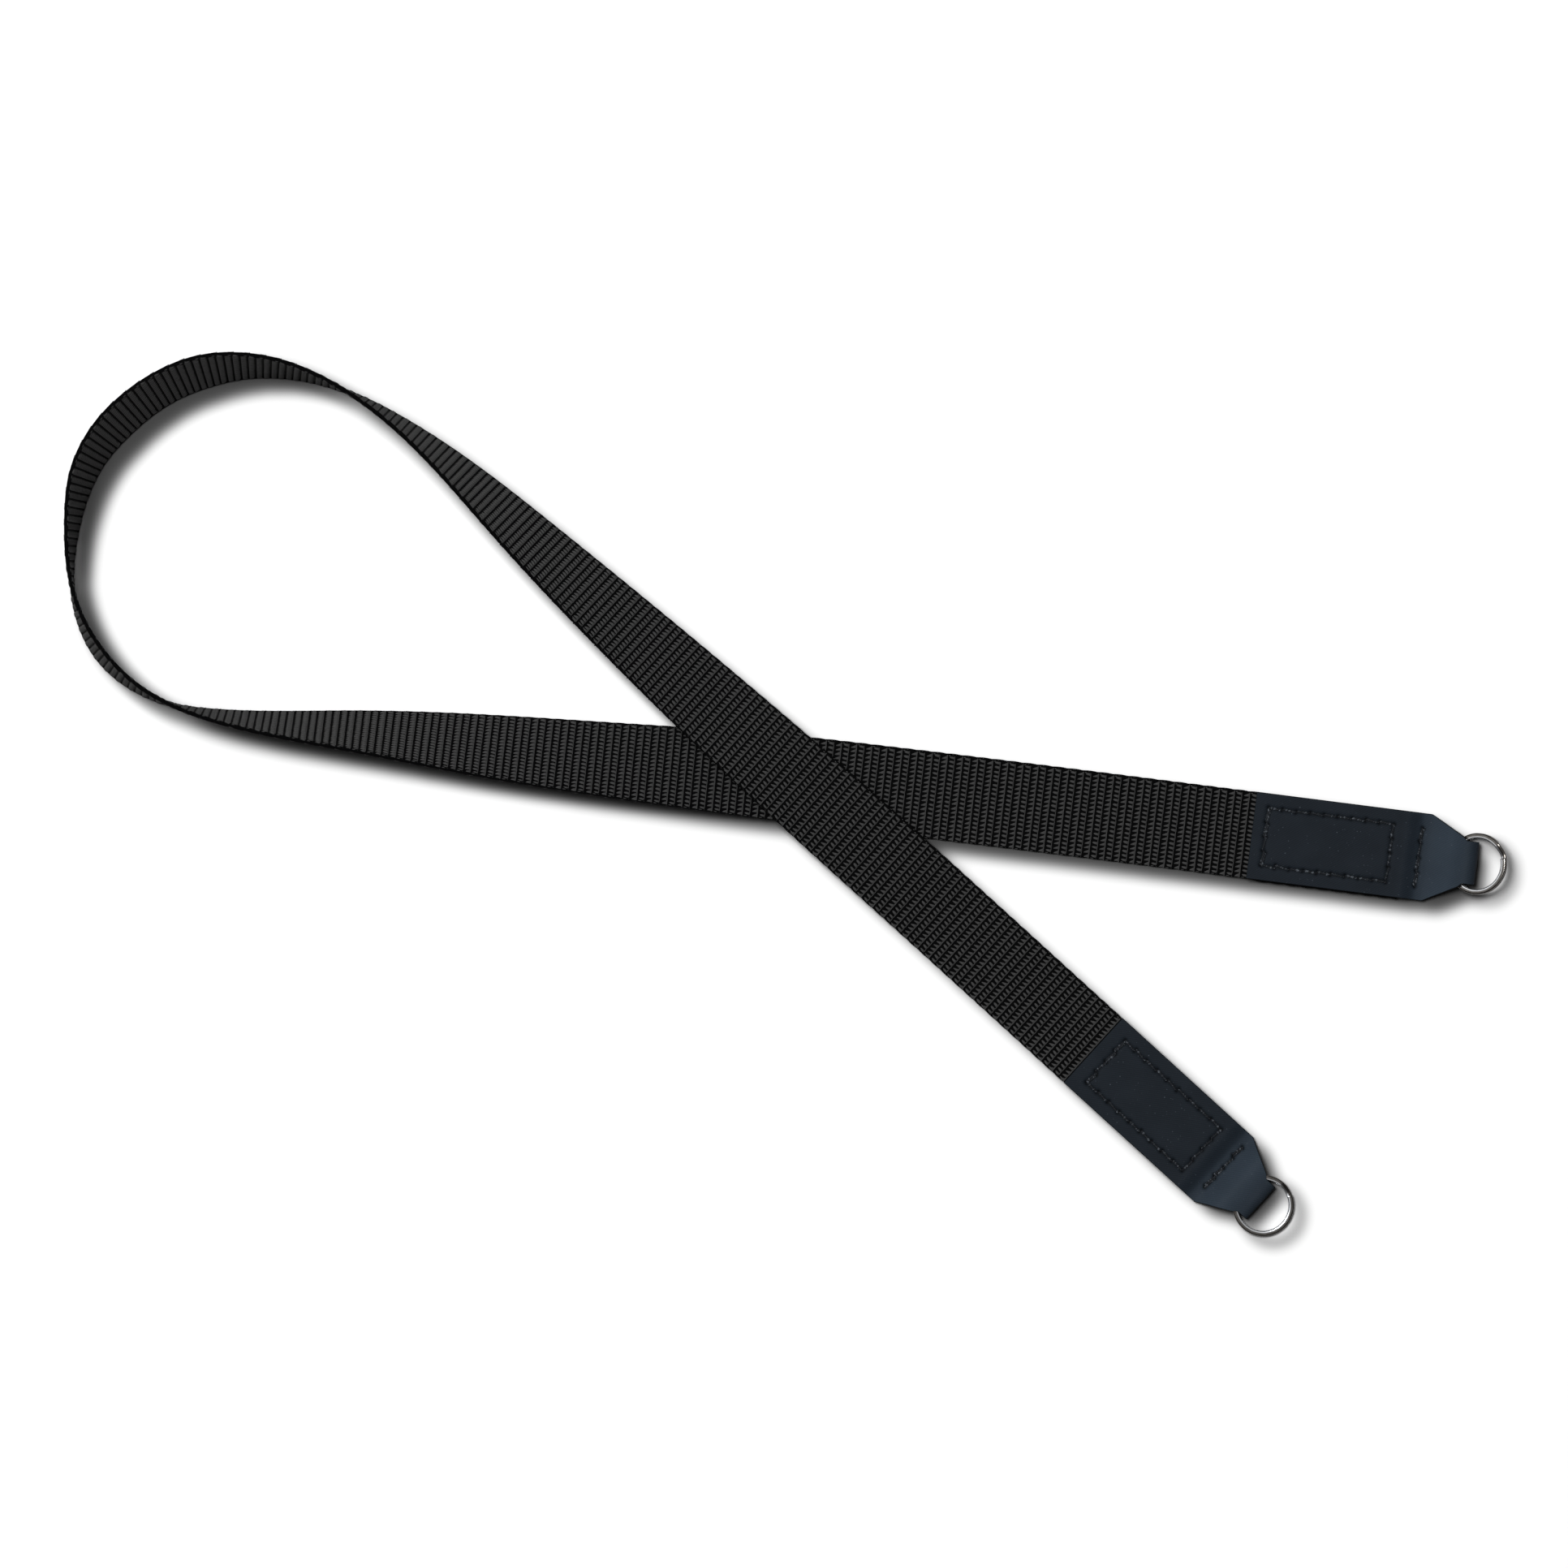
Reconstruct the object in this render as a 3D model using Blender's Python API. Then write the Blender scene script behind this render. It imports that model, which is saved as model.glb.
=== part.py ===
"""A neck strap for a camera, lying as it was put down.

One length of ribbed webbing lies in a loop and crosses over itself. Each of
its ends is sewn into a folded leatherette tab, and each tab holds a split
ring. Metres, +Z up. The strap lies on the plane Z = 0, and the origin is
under the middle of it. +X runs along the strap's longest extent.
"""
import math

import bpy
import bmesh
import numpy as np
from mathutils import Matrix, Vector

MM = 0.001

# Webbing
WEBBING_WIDTH = 25.4 * MM
WEBBING_THICK = 1.7 * MM
WEBBING_SECTIONS = 176

# Loop and legs, measured along the webbing's centre line from the crossing
LOOP_LENGTH = 224.2 * MM
LOOP_WIDTH = 103.2 * MM
LEG_A_LENGTH = 134.2 * MM
LEG_B_LENGTH = 117.6 * MM
LEG_A_HEADING = -6.6
LEG_B_HEADING = -41.8
LEG_A_TURN = -0.8
LEG_B_TURN = -0.7

# Where one leg lies over the other
CROSSING_RAMP = 24.0 * MM
TAB_RAMP = 18.0 * MM
STEEP_LEAN = 60.0
CROSSING_SAMPLES = 25

# Tabs: one strip of leatherette each, folded round a ring at its nose. The
# shares are of TAB_LENGTH, from the tab's base.
LEATHER_THICK = 1.1 * MM
TAB_LENGTH = 66.0 * MM
NOSE_LENGTH = 4.8 * MM
CHEEK_STEP = 1.1 * MM
BAR_FLAT = 1.6 * MM
SHOULDER_SHARE = 0.779
WEBBING_SHARE = 0.667
BAR_STITCH_SHARE = 0.758
NOSE_LIFT_SHARE = 0.5

# Split rings: two turns of flat wire, one on the other
RING_DIAMETER = 17.9 * MM
WIRE_WIDTH = 1.6 * MM
WIRE_THICK = 0.85 * MM
TURN_GAP = 0.12 * MM
NOSE_PLAY = 1.05 * MM
RING_A_TILT = 22.0
RING_A_END = 18.0
RING_B_END = 64.0
CROSSOVER_ANGLE = 26.0
END_ANGLE_GAP = 4.0

# Touching pieces keep this much air
CLEARANCE = 0.3 * MM

# The loop, as shares of LOOP_LENGTH along its axis and of LOOP_WIDTH across
# it. Lean is the angle in degrees between the webbing's width and the floor:
# 0 has the leg's first face up, 90 stands on edge, 180 has the other face up.
LOOP_ROWS = (
    # (along, across, lean)
    (0.000, 0.000, 8.0),
    (0.178, 0.128, 27.0),
    (0.380, 0.270, 45.0),
    (0.542, 0.383, 63.0),
    (0.702, 0.497, 81.5),
    (0.801, 0.528, 92.5),
    (0.882, 0.482, 97.0),
    (0.947, 0.358, 92.0),
    (0.985, 0.185, 83.5),
    (1.000, 0.012, 74.0),
    (0.981, -0.165, 69.0),
    (0.928, -0.335, 69.5),
    (0.851, -0.441, 77.0),
    (0.755, -0.479, 88.0),
    (0.644, -0.452, 99.5),
    (0.456, -0.326, 123.0),
    (0.238, -0.167, 145.0),
    (0.000, 0.000, 167.0),
)

# How flat each leg has come to lie, at shares of its length from the crossing
LEG_A_ROWS = (
    # (share, lean)
    (0.18, 2.0),
    (0.34, 0.0),
    (1.00, 0.0),
)
LEG_B_ROWS = (
    # (share, lean)
    (0.16, 174.0),
    (0.34, 180.0),
    (1.00, 180.0),
)

# Softened edges, as shares of a band's or the wire's thickness
EDGE_INSET_SHARE = 0.45
EDGE_FLAT_SHARE = 0.22
WIRE_CORNER_SHARE = 0.3
SHARP_ANGLE = 35.0

# Steps of the curves
ROUTE_STEPS = 40
RING_STEPS = 60
CROSSOVER_STEPS = 9
DRAPE_STEPS = 8
DRAPE_SPACING = 0.8 * MM
BEND_STEPS = 12


def material(name, colour, roughness, metallic=0.0):
    """Return a Principled material."""
    made = bpy.data.materials.new(name)
    made.use_nodes = True
    shader = made.node_tree.nodes["Principled BSDF"]
    shader.inputs["Base Color"].default_value = (*colour, 1.0)
    shader.inputs["Roughness"].default_value = roughness
    shader.inputs["Metallic"].default_value = metallic
    return made


def loft(name, rings, finish):
    """Join equal rings of points into one closed body."""
    shape = bmesh.new()
    loops = [[shape.verts.new(point) for point in ring] for ring in rings]
    for low, high in zip(loops, loops[1:]):
        count = len(low)
        for i in range(count):
            j = (i + 1) % count
            shape.faces.new((low[i], low[j], high[j], high[i]))
    shape.faces.new(loops[0])
    shape.faces.new(loops[-1])
    bmesh.ops.recalc_face_normals(shape, faces=shape.faces)
    mesh = bpy.data.meshes.new(name)
    shape.to_mesh(mesh)
    shape.free()
    mesh.materials.append(finish)
    mesh.shade_smooth()
    mesh.set_sharp_from_angle(angle=math.radians(SHARP_ANGLE))
    made = bpy.data.objects.new(name, mesh)
    bpy.context.scene.collection.objects.link(made)
    return made


def band_section(width, thick):
    """Eight points of a band's section: a long rectangle with soft edges."""
    half = width / 2
    side = thick / 2
    inset = EDGE_INSET_SHARE * thick
    edge = EDGE_FLAT_SHARE * thick
    quarter = [(half, edge), (half - inset, side)]
    right = [(half, -edge), *quarter]
    left = [(-a, b) for a, b in reversed(quarter)]
    return [*right, *left, (-half, -edge), (-half + inset, -side), (half - inset, -side)]


def cubic_through(stations, values):
    """Return a function: the natural cubic curve through values at stations."""
    steps = np.diff(stations)
    slopes = np.diff(values) / steps
    count = len(stations)
    system = np.eye(count)
    right = np.zeros(count)
    for i in range(1, count - 1):
        system[i, i - 1:i + 2] = (steps[i - 1], 2 * (steps[i - 1] + steps[i]), steps[i])
        right[i] = 6 * (slopes[i] - slopes[i - 1])
    bends = np.linalg.solve(system, right)

    def curve(at):
        i = np.clip(np.searchsorted(stations, at) - 1, 0, count - 2)
        t = at - stations[i]
        first = slopes[i] - steps[i] * (2 * bends[i] + bends[i + 1]) / 6
        third = (bends[i + 1] - bends[i]) / (6 * steps[i])
        return values[i] + t * (first + t * (bends[i] / 2 + t * third))

    return curve


def steady_through(stations, values):
    """Return a function: a smooth curve through values that never overshoots."""
    steps = np.diff(stations)
    slopes = np.diff(values) / steps
    tangents = np.zeros(len(stations))
    for i in range(1, len(stations) - 1):
        before, after = slopes[i - 1], slopes[i]
        if before * after > 0:
            tangents[i] = 2 * before * after / (before + after)

    def curve(at):
        i = np.clip(np.searchsorted(stations, at) - 1, 0, len(stations) - 2)
        t = np.clip((at - stations[i]) / steps[i], 0.0, 1.0)
        start = (1 + 2 * t) * (1 - t) ** 2 * values[i]
        end = t * t * (3 - 2 * t) * values[i + 1]
        turn_in = t * (1 - t) ** 2 * steps[i] * tangents[i]
        turn_out = t * t * (t - 1) * steps[i] * tangents[i + 1]
        return start + end + turn_in + turn_out

    return curve


def webbing_in_tab():
    """Return how far the webbing reaches into each tab."""
    return WEBBING_SHARE * TAB_LENGTH


def smooth_step(value):
    """Ease from 0 to 1."""
    value = np.clip(value, 0.0, 1.0)
    return value * value * (3 - 2 * value)


def direction(degrees):
    """Return the unit vector of a heading on the floor."""
    angle = math.radians(degrees)
    return np.array((math.cos(angle), math.sin(angle)))


def leg_point(heading, turn, length, share):
    """Return the point at a share of a leg, which bends evenly by turn."""
    reach = length * share
    return reach * direction(heading + turn * share / 2)


def route_rows():
    """List the webbing's plan points and leans, from tab a's base to tab b's."""
    axis_heading = (LEG_A_HEADING + LEG_B_HEADING) / 2 + 180.0
    along = direction(axis_heading)
    across = direction(axis_heading + 90.0)
    rows = []
    for share, lean in reversed(LEG_A_ROWS):
        point = leg_point(LEG_A_HEADING, LEG_A_TURN, LEG_A_LENGTH, share)
        rows.append((*point, lean))
    for forward, sideways, lean in LOOP_ROWS:
        point = forward * LOOP_LENGTH * along + sideways * LOOP_WIDTH * across
        rows.append((*point, lean))
    for share, lean in LEG_B_ROWS:
        point = leg_point(LEG_B_HEADING, LEG_B_TURN, LEG_B_LENGTH, share)
        rows.append((*point, lean))
    return np.array(rows)


def straight_end(points, leans, inward):
    """Carry the centre line straight on into a tab."""
    end_heading = points[0] - points[1]
    end_heading /= np.linalg.norm(end_heading)
    return points[0] + inward * end_heading, leans[0]


def webbing_route():
    """Return evenly spaced centre points, unit tangents and leans."""
    rows = route_rows()
    chords = np.linalg.norm(np.diff(rows[:, :2], axis=0), axis=1)
    knots = np.concatenate(([0.0], np.cumsum(chords)))
    east = cubic_through(knots, rows[:, 0])
    north = cubic_through(knots, rows[:, 1])
    lean = steady_through(knots, rows[:, 2])
    fine = np.linspace(0.0, knots[-1], ROUTE_STEPS * len(rows))
    line = np.column_stack((east(fine), north(fine)))
    leans = lean(fine)
    first, first_lean = straight_end(line, leans, webbing_in_tab())
    last, last_lean = straight_end(line[::-1], leans[::-1], webbing_in_tab())
    line = np.vstack((first, line, last))
    leans = np.concatenate(([first_lean], leans, [last_lean]))
    travelled = np.linalg.norm(np.diff(line, axis=0), axis=1)
    travelled = np.concatenate(([0.0], np.cumsum(travelled)))
    even = np.linspace(0.0, travelled[-1], WEBBING_SECTIONS)
    points = np.column_stack([np.interp(even, travelled, line[:, k]) for k in (0, 1)])
    tangents = np.gradient(points, axis=0)
    tangents /= np.linalg.norm(tangents, axis=1)[:, None]
    return even, points, tangents, np.interp(even, travelled, leans)


def crossing_lift(even, points, tangents, leans, rest_height):
    """Return how far each section is lifted to lie on the leg under it."""
    flatness = np.abs(np.cos(np.radians(leans)))
    lies_flat = flatness > math.cos(math.radians(STEEP_LEAN))
    middle = even[-1] / 2
    lower = np.nonzero(lies_flat & (even < middle))[0]
    upper = np.nonzero(lies_flat & (even > middle))[0]
    left = np.column_stack((-tangents[:, 1], tangents[:, 0]))
    half = WEBBING_WIDTH / 2
    need = np.zeros(len(even))
    for j in upper:
        turned = math.radians(leans[j])
        for reach in np.linspace(-half, half, CROSSING_SAMPLES):
            spot = points[j] + reach * math.cos(turned) * left[j]
            i = lower[np.argmin(np.linalg.norm(points[lower] - spot, axis=1))]
            offset = float(np.dot(spot - points[i], left[i]))
            if abs(offset) > half * flatness[i] + WEBBING_THICK:
                continue
            slope = math.tan(math.radians(leans[i]))
            under = rest_height[i] + offset * slope + WEBBING_THICK / (2 * flatness[i])
            own = rest_height[j] + reach * math.sin(turned) - WEBBING_THICK / (2 * flatness[j])
            need[j] = max(need[j], under + CLEARANCE - own)
    lifted = even[need > 0]
    rising = smooth_step((even - lifted[0]) / CROSSING_RAMP + 1)
    falling = smooth_step((lifted[-1] - even) / CROSSING_RAMP + 1)
    return need.max() * rising * falling


def tab_lift(even):
    """Return how far each section is lifted to lie on the tabs' lower layers."""
    step = LEATHER_THICK + CLEARANCE
    ramp_end = webbing_in_tab() + TAB_RAMP
    from_first = (ramp_end - even) / TAB_RAMP
    from_last = (even - even[-1] + ramp_end) / TAB_RAMP
    return step * (smooth_step(from_first) + smooth_step(from_last))


def make_webbing(finish):
    """Loft the webbing along its route and return it with its two end places."""
    section = np.array(band_section(WEBBING_WIDTH, WEBBING_THICK))
    even, points, tangents, leans = webbing_route()
    turned = np.radians(leans)
    width_rise = np.sin(turned)[:, None] * section[None, :, 0]
    face_rise = np.cos(turned)[:, None] * section[None, :, 1]
    rest_height = -(width_rise + face_rise).min(axis=1)
    lift = crossing_lift(even, points, tangents, leans, rest_height) + tab_lift(even)
    rings = []
    for i, (x, y) in enumerate(points):
        left = Vector((-tangents[i, 1], tangents[i, 0], 0.0))
        up = Vector((0.0, 0.0, 1.0))
        width_way = math.cos(turned[i]) * left + math.sin(turned[i]) * up
        face_way = math.cos(turned[i]) * up - math.sin(turned[i]) * left
        centre = Vector((x, y, rest_height[i] + lift[i]))
        ring = [centre + width_way * float(a) + face_way * float(b) for a, b in section]
        rings.append(ring)
    webbing = loft("webbing", rings, finish)
    base_a = points[0] + webbing_in_tab() * tangents[0]
    base_b = points[-1] - webbing_in_tab() * tangents[-1]
    heading_a = math.degrees(math.atan2(-tangents[0, 1], -tangents[0, 0]))
    heading_b = math.degrees(math.atan2(tangents[-1, 1], tangents[-1, 0]))
    return webbing, (base_a, heading_a), (base_b, heading_b)


def nose_width():
    """Return the width of the strip where it passes through the ring."""
    return RING_DIAMETER - 2 * WIRE_WIDTH - 2 * NOSE_PLAY


def wire_radius():
    """Return the radius of the ring's wire, along the middle of its width."""
    return (RING_DIAMETER - WIRE_WIDTH) / 2


def exit_reach():
    """Return how far from the ring's centre its wire leaves the strip's sides."""
    inner_radius = RING_DIAMETER / 2 - WIRE_WIDTH
    return math.sqrt(inner_radius ** 2 - (nose_width() / 2 + CLEARANCE) ** 2)


def resting_tilt():
    """Return the tilt of a ring that lies on the strip and on the floor."""
    drop = LEATHER_THICK + CLEARANCE
    return -math.degrees(math.asin(drop / (wire_radius() + exit_reach())))


def seat_ring(tilt):
    """Work out where a ring sits in its tab and how the tab drapes over it.

    Returns, measured from the tab's base and the floor: the ring's centre
    along and its height, how far along its inner end lies, the roof's height
    over that end and at the nose's bend, the bend's start, and how far the
    lower layer is raised there.
    """
    slant = math.radians(tilt)
    half_stack = WIRE_THICK + TURN_GAP / 2
    half_slice = half_stack / math.cos(slant) + CLEARANCE
    half_depth = half_stack * math.cos(slant) + WIRE_WIDTH / 2 * abs(math.sin(slant))
    outer_radius = RING_DIAMETER / 2
    seat = LEATHER_THICK + CLEARANCE
    reach = exit_reach()
    if tilt > 0:
        height = seat + half_depth + wire_radius() * math.sin(slant)
    else:
        height = half_depth - wire_radius() * math.sin(slant)
    roof_inside = height - outer_radius * math.sin(slant) + half_slice
    roof_at_bend = height - reach * math.sin(slant) + half_slice
    room_below = height - reach * math.sin(slant) - half_slice - LEATHER_THICK
    raised = NOSE_LIFT_SHARE * max(room_below, 0.0)
    bend_radius = (roof_at_bend - raised) / 2
    bend_along = TAB_LENGTH - LEATHER_THICK / 2 - bend_radius
    centre = bend_along + reach * math.cos(slant)
    inner_end = centre - outer_radius * math.cos(slant)
    return centre, height, inner_end, roof_inside, roof_at_bend, bend_along, raised


def tab_corners():
    """Return where the tab's outline turns: its shoulder, cheek and nose."""
    cheek = TAB_LENGTH - NOSE_LENGTH
    return SHOULDER_SHARE * TAB_LENGTH, cheek, cheek + CHEEK_STEP


def tab_half_width(along):
    """Return half the tab's width at a distance from its base."""
    nose = nose_width()
    stations = (0.0, *tab_corners(), TAB_LENGTH)
    widths = (WEBBING_WIDTH, WEBBING_WIDTH, nose + 2 * CHEEK_STEP, nose, nose)
    return float(np.interp(along, stations, widths)) / 2


def eased_run(start, end, steps):
    """List points of a smooth step between two (along, height) places."""
    run = []
    for k in range(steps + 1):
        share = k / steps
        along = start[0] + share * (end[0] - start[0])
        run.append((along, start[1] + float(smooth_step(share)) * (end[1] - start[1])))
    return run


def tab_side_line(seat):
    """List the tab strip's middle line in side view, as (along, height)."""
    _, _, inner_end, roof_inside, roof_at_bend, bend_along, raised = seat
    half = LEATHER_THICK / 2
    over_webbing = LEATHER_THICK + WEBBING_THICK + 2 * CLEARANCE + half
    pinched = LEATHER_THICK + CLEARANCE + half
    bar_stitch = BAR_STITCH_SHARE * TAB_LENGTH
    pinch_start = (bar_stitch - BAR_FLAT / 2, pinched)
    pinch_end = (bar_stitch + BAR_FLAT / 2, pinched)
    webbing_end = (webbing_in_tab() + 2 * CLEARANCE, over_webbing)
    upper = [(share * webbing_end[0], over_webbing) for share in (0.0, 0.25, 0.5, 0.75)]
    upper += eased_run(webbing_end, pinch_start, DRAPE_STEPS)
    knots = np.array((pinch_end[0], inner_end, bend_along))
    drape = steady_through(knots, np.array((pinched, roof_inside + half, roof_at_bend + half)))
    between = [along for along in tab_corners() if pinch_end[0] < along < bend_along]
    stops = [pinch_end[0], *between, bend_along]
    for start, end in zip(stops, stops[1:]):
        count = math.ceil((end - start) / DRAPE_SPACING)
        for along in np.linspace(start, end, count, endpoint=False):
            upper.append((along, float(drape(along))))
    upper.append((bend_along, float(drape(bend_along))))
    bend_low = half + raised
    bend_radius = (roof_at_bend + half - bend_low) / 2
    bend = []
    for k in range(1, BEND_STEPS):
        angle = math.pi * k / BEND_STEPS
        along = bend_along + bend_radius * math.sin(angle)
        bend.append((along, bend_low + bend_radius * (1 + math.cos(angle))))
    lower = [(0.0, half), (tab_corners()[0], half)]
    lower += eased_run((inner_end, half), (bend_along, bend_low), DRAPE_STEPS)
    return upper + bend + lower[::-1]


def make_tab(name, base, heading, seat, finish):
    """Sweep the leatherette strip along its side line, with its plan outline."""
    line = np.array(tab_side_line(seat))
    chords = np.diff(line, axis=0)
    chords /= np.linalg.norm(chords, axis=1)[:, None]
    tangents = np.vstack((chords[:1], chords[1:] + chords[:-1], chords[-1:]))
    tangents /= np.linalg.norm(tangents, axis=1)[:, None]
    place = Matrix.Translation((*base, 0.0)) @ Matrix.Rotation(math.radians(heading), 4, "Z")
    rings = []
    for (along, height), (run, climb) in zip(line, tangents):
        ring = []
        for sideways, depth in band_section(2 * tab_half_width(along), LEATHER_THICK):
            local = (along - climb * depth, sideways, height + run * depth)
            ring.append(place @ Vector(local))
        rings.append(ring)
    return loft(name, rings, finish)


def ring_section():
    """Eight points of the ring's flat wire, with soft corners."""
    half = WIRE_WIDTH / 2
    side = WIRE_THICK / 2
    cut = WIRE_CORNER_SHARE * WIRE_THICK
    corner = [(half, side - cut), (half - cut, side)]
    left = [(-a, b) for a, b in reversed(corner)]
    upper = corner + left
    return upper + [(a, -b) for a, b in reversed(upper)]


def make_ring(name, base, heading, seat, tilt, end_angle, finish):
    """Wind two turns of wire: flat, then stepping up over a short crossover."""
    radius = wire_radius()
    step = (WIRE_THICK + TURN_GAP) / 2
    sweep = 720.0 - CROSSOVER_ANGLE - 2 * END_ANGLE_GAP
    count = 2 * RING_STEPS
    middle = sweep / 2
    centre, height = seat[:2]
    place = (
        Matrix.Translation((*base, 0.0))
        @ Matrix.Rotation(math.radians(heading), 4, "Z")
        @ Matrix.Translation((centre, 0.0, height))
        @ Matrix.Rotation(math.radians(-tilt), 4, "Y")
        @ Matrix.Rotation(math.radians(end_angle), 4, "Z")
    )
    angles = set(np.linspace(0.0, sweep, count + 1))
    angles |= set(middle + CROSSOVER_ANGLE * np.linspace(-0.5, 0.5, CROSSOVER_STEPS))
    rings = []
    for turned in sorted(angles):
        past = (turned - middle) / CROSSOVER_ANGLE + 0.5
        level = step * (2 * float(smooth_step(past)) - 1)
        angle = math.radians(turned - sweep)
        ring = []
        for outward, upward in ring_section():
            reach = radius + outward
            local = (reach * math.cos(angle), reach * math.sin(angle), level + upward)
            ring.append(place @ Vector(local))
        rings.append(ring)
    return loft(name, rings, finish)


def settle(objects):
    """Move the parts so that the origin is under the middle of them."""
    corners = np.array([tuple(v.co) for made in objects for v in made.data.vertices])
    low = corners.min(axis=0)
    high = corners.max(axis=0)
    shift = Vector((-(low[0] + high[0]) / 2, -(low[1] + high[1]) / 2, -low[2]))
    for made in objects:
        made.data.transform(Matrix.Translation(shift))


def main():
    """Build the strap."""
    for old in list(bpy.data.objects):
        bpy.data.objects.remove(old)
    woven = material("woven_black", (0.020, 0.020, 0.020), 0.75)
    leather = material("leatherette_navy", (0.014, 0.018, 0.026), 0.48)
    nickel = material("polished_nickel", (0.66, 0.66, 0.68), 0.18, 1.0)
    webbing, (base_a, heading_a), (base_b, heading_b) = make_webbing(woven)
    flat_tilt = resting_tilt()
    seat_a = seat_ring(RING_A_TILT)
    seat_b = seat_ring(flat_tilt)
    parts = [
        webbing,
        make_tab("tab_a", base_a, heading_a, seat_a, leather),
        make_tab("tab_b", base_b, heading_b, seat_b, leather),
        make_ring("ring_a", base_a, heading_a, seat_a, RING_A_TILT, RING_A_END, nickel),
        make_ring("ring_b", base_b, heading_b, seat_b, flat_tilt, RING_B_END, nickel),
    ]
    settle(parts)


main()
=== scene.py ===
"""The look of a camera's neck strap: ribbed webbing, sewn tabs and split rings.

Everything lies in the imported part's frame, in metres with +Z up. The webbing's
route, the tabs' side lines and the rings' windings follow the part's own sizes,
and the weave, the seams and the finishes are laid over them.
"""
import math

import bpy
import numpy as np
from mathutils import Matrix, Vector

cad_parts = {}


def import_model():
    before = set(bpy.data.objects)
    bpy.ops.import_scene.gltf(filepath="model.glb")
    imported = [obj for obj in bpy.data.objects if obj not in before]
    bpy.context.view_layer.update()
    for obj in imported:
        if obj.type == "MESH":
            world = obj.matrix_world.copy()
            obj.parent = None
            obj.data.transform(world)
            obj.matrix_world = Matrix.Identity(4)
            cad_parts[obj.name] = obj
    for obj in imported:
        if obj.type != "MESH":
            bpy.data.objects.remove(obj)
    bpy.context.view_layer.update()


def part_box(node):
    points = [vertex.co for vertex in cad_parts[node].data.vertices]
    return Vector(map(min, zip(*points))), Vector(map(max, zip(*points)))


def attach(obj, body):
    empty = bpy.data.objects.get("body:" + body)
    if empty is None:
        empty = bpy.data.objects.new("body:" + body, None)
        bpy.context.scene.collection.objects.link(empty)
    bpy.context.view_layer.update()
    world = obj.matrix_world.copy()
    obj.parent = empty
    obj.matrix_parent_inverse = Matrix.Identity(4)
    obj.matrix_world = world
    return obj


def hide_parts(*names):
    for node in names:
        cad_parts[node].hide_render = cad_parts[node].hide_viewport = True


MM = 0.001

# The part's sizes
WEBBING_WIDTH = 25.4 * MM
WEBBING_THICK = 1.7 * MM
WEBBING_SECTIONS = 176
LOOP_LENGTH = 224.2 * MM
LOOP_WIDTH = 103.2 * MM
LEG_A_LENGTH = 134.2 * MM
LEG_B_LENGTH = 117.6 * MM
LEG_A_HEADING = -6.6
LEG_B_HEADING = -41.8
LEG_A_TURN = -0.8
LEG_B_TURN = -0.7
CROSSING_RAMP = 24.0 * MM
TAB_RAMP = 18.0 * MM
STEEP_LEAN = 60.0
CROSSING_SAMPLES = 25
LEATHER_THICK = 1.1 * MM
TAB_LENGTH = 66.0 * MM
NOSE_LENGTH = 4.8 * MM
CHEEK_STEP = 1.1 * MM
BAR_FLAT = 1.6 * MM
SHOULDER_SHARE = 0.779
WEBBING_SHARE = 0.667
BAR_STITCH_SHARE = 0.758
NOSE_LIFT_SHARE = 0.5
RING_DIAMETER = 17.9 * MM
WIRE_WIDTH = 1.6 * MM
WIRE_THICK = 0.85 * MM
TURN_GAP = 0.12 * MM
NOSE_PLAY = 1.05 * MM
RING_A_TILT = 22.0
RING_A_END = 18.0
RING_B_END = 64.0
CROSSOVER_ANGLE = 26.0
END_ANGLE_GAP = 4.0
CLEARANCE = 0.3 * MM
LOOP_ROWS = (
    # (along, across, lean)
    (0.000, 0.000, 8.0),
    (0.178, 0.128, 27.0),
    (0.380, 0.270, 45.0),
    (0.542, 0.383, 63.0),
    (0.702, 0.497, 81.5),
    (0.801, 0.528, 92.5),
    (0.882, 0.482, 97.0),
    (0.947, 0.358, 92.0),
    (0.985, 0.185, 83.5),
    (1.000, 0.012, 74.0),
    (0.981, -0.165, 69.0),
    (0.928, -0.335, 69.5),
    (0.851, -0.441, 77.0),
    (0.755, -0.479, 88.0),
    (0.644, -0.452, 99.5),
    (0.456, -0.326, 123.0),
    (0.238, -0.167, 145.0),
    (0.000, 0.000, 167.0),
)
LEG_A_ROWS = (
    # (share, lean)
    (0.18, 2.0),
    (0.34, 0.0),
    (1.00, 0.0),
)
LEG_B_ROWS = (
    # (share, lean)
    (0.16, 174.0),
    (0.34, 180.0),
    (1.00, 180.0),
)
EDGE_INSET_SHARE = 0.45
EDGE_FLAT_SHARE = 0.22
ROUTE_STEPS = 40
DRAPE_STEPS = 8
DRAPE_SPACING = 0.8 * MM
BEND_STEPS = 12

# The weave: ribs along the webbing, each a bar with a row of teeth
RIB_PITCH = 2.21 * MM
TEETH_ACROSS = 19
TOOTH_PITCH = 1.30 * MM
WEAVE_SHIFT = 0.24 * MM
EDGE_TEETH_FROM = 11.6 * MM
EDGE_TEETH_SHARE = 0.75
CORE_HALF = 0.40 * MM
TOOTH_ARCH = (0.80, 0.94, 0.90, 0.55)
TOOTH_INSET = 0.78
WEAVE_HIDDEN = 1.2 * MM
TOOTH_SHAPES = (
    # for each kind of rib: top in mm, slant, then (reach in mm, half width in mm) rows
    (0.74, -0.12, ((-0.05, 0.46), (0.36, 0.37), (1.10, 0.33), (1.48, 0.13))),
    (0.84, 0.26, ((-0.05, 0.62), (0.40, 0.42), (0.98, 0.28), (1.50, 0.13))),
)
BAR_SHAPES = (
    # for each kind of rib: top in mm, width in mm, how much it dips between teeth
    (0.70, 0.28, 0.55),
    (0.84, 0.40, 0.10),
)
DASH_EVERY = 2
DASH_HALF = 0.16 * MM
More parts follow.
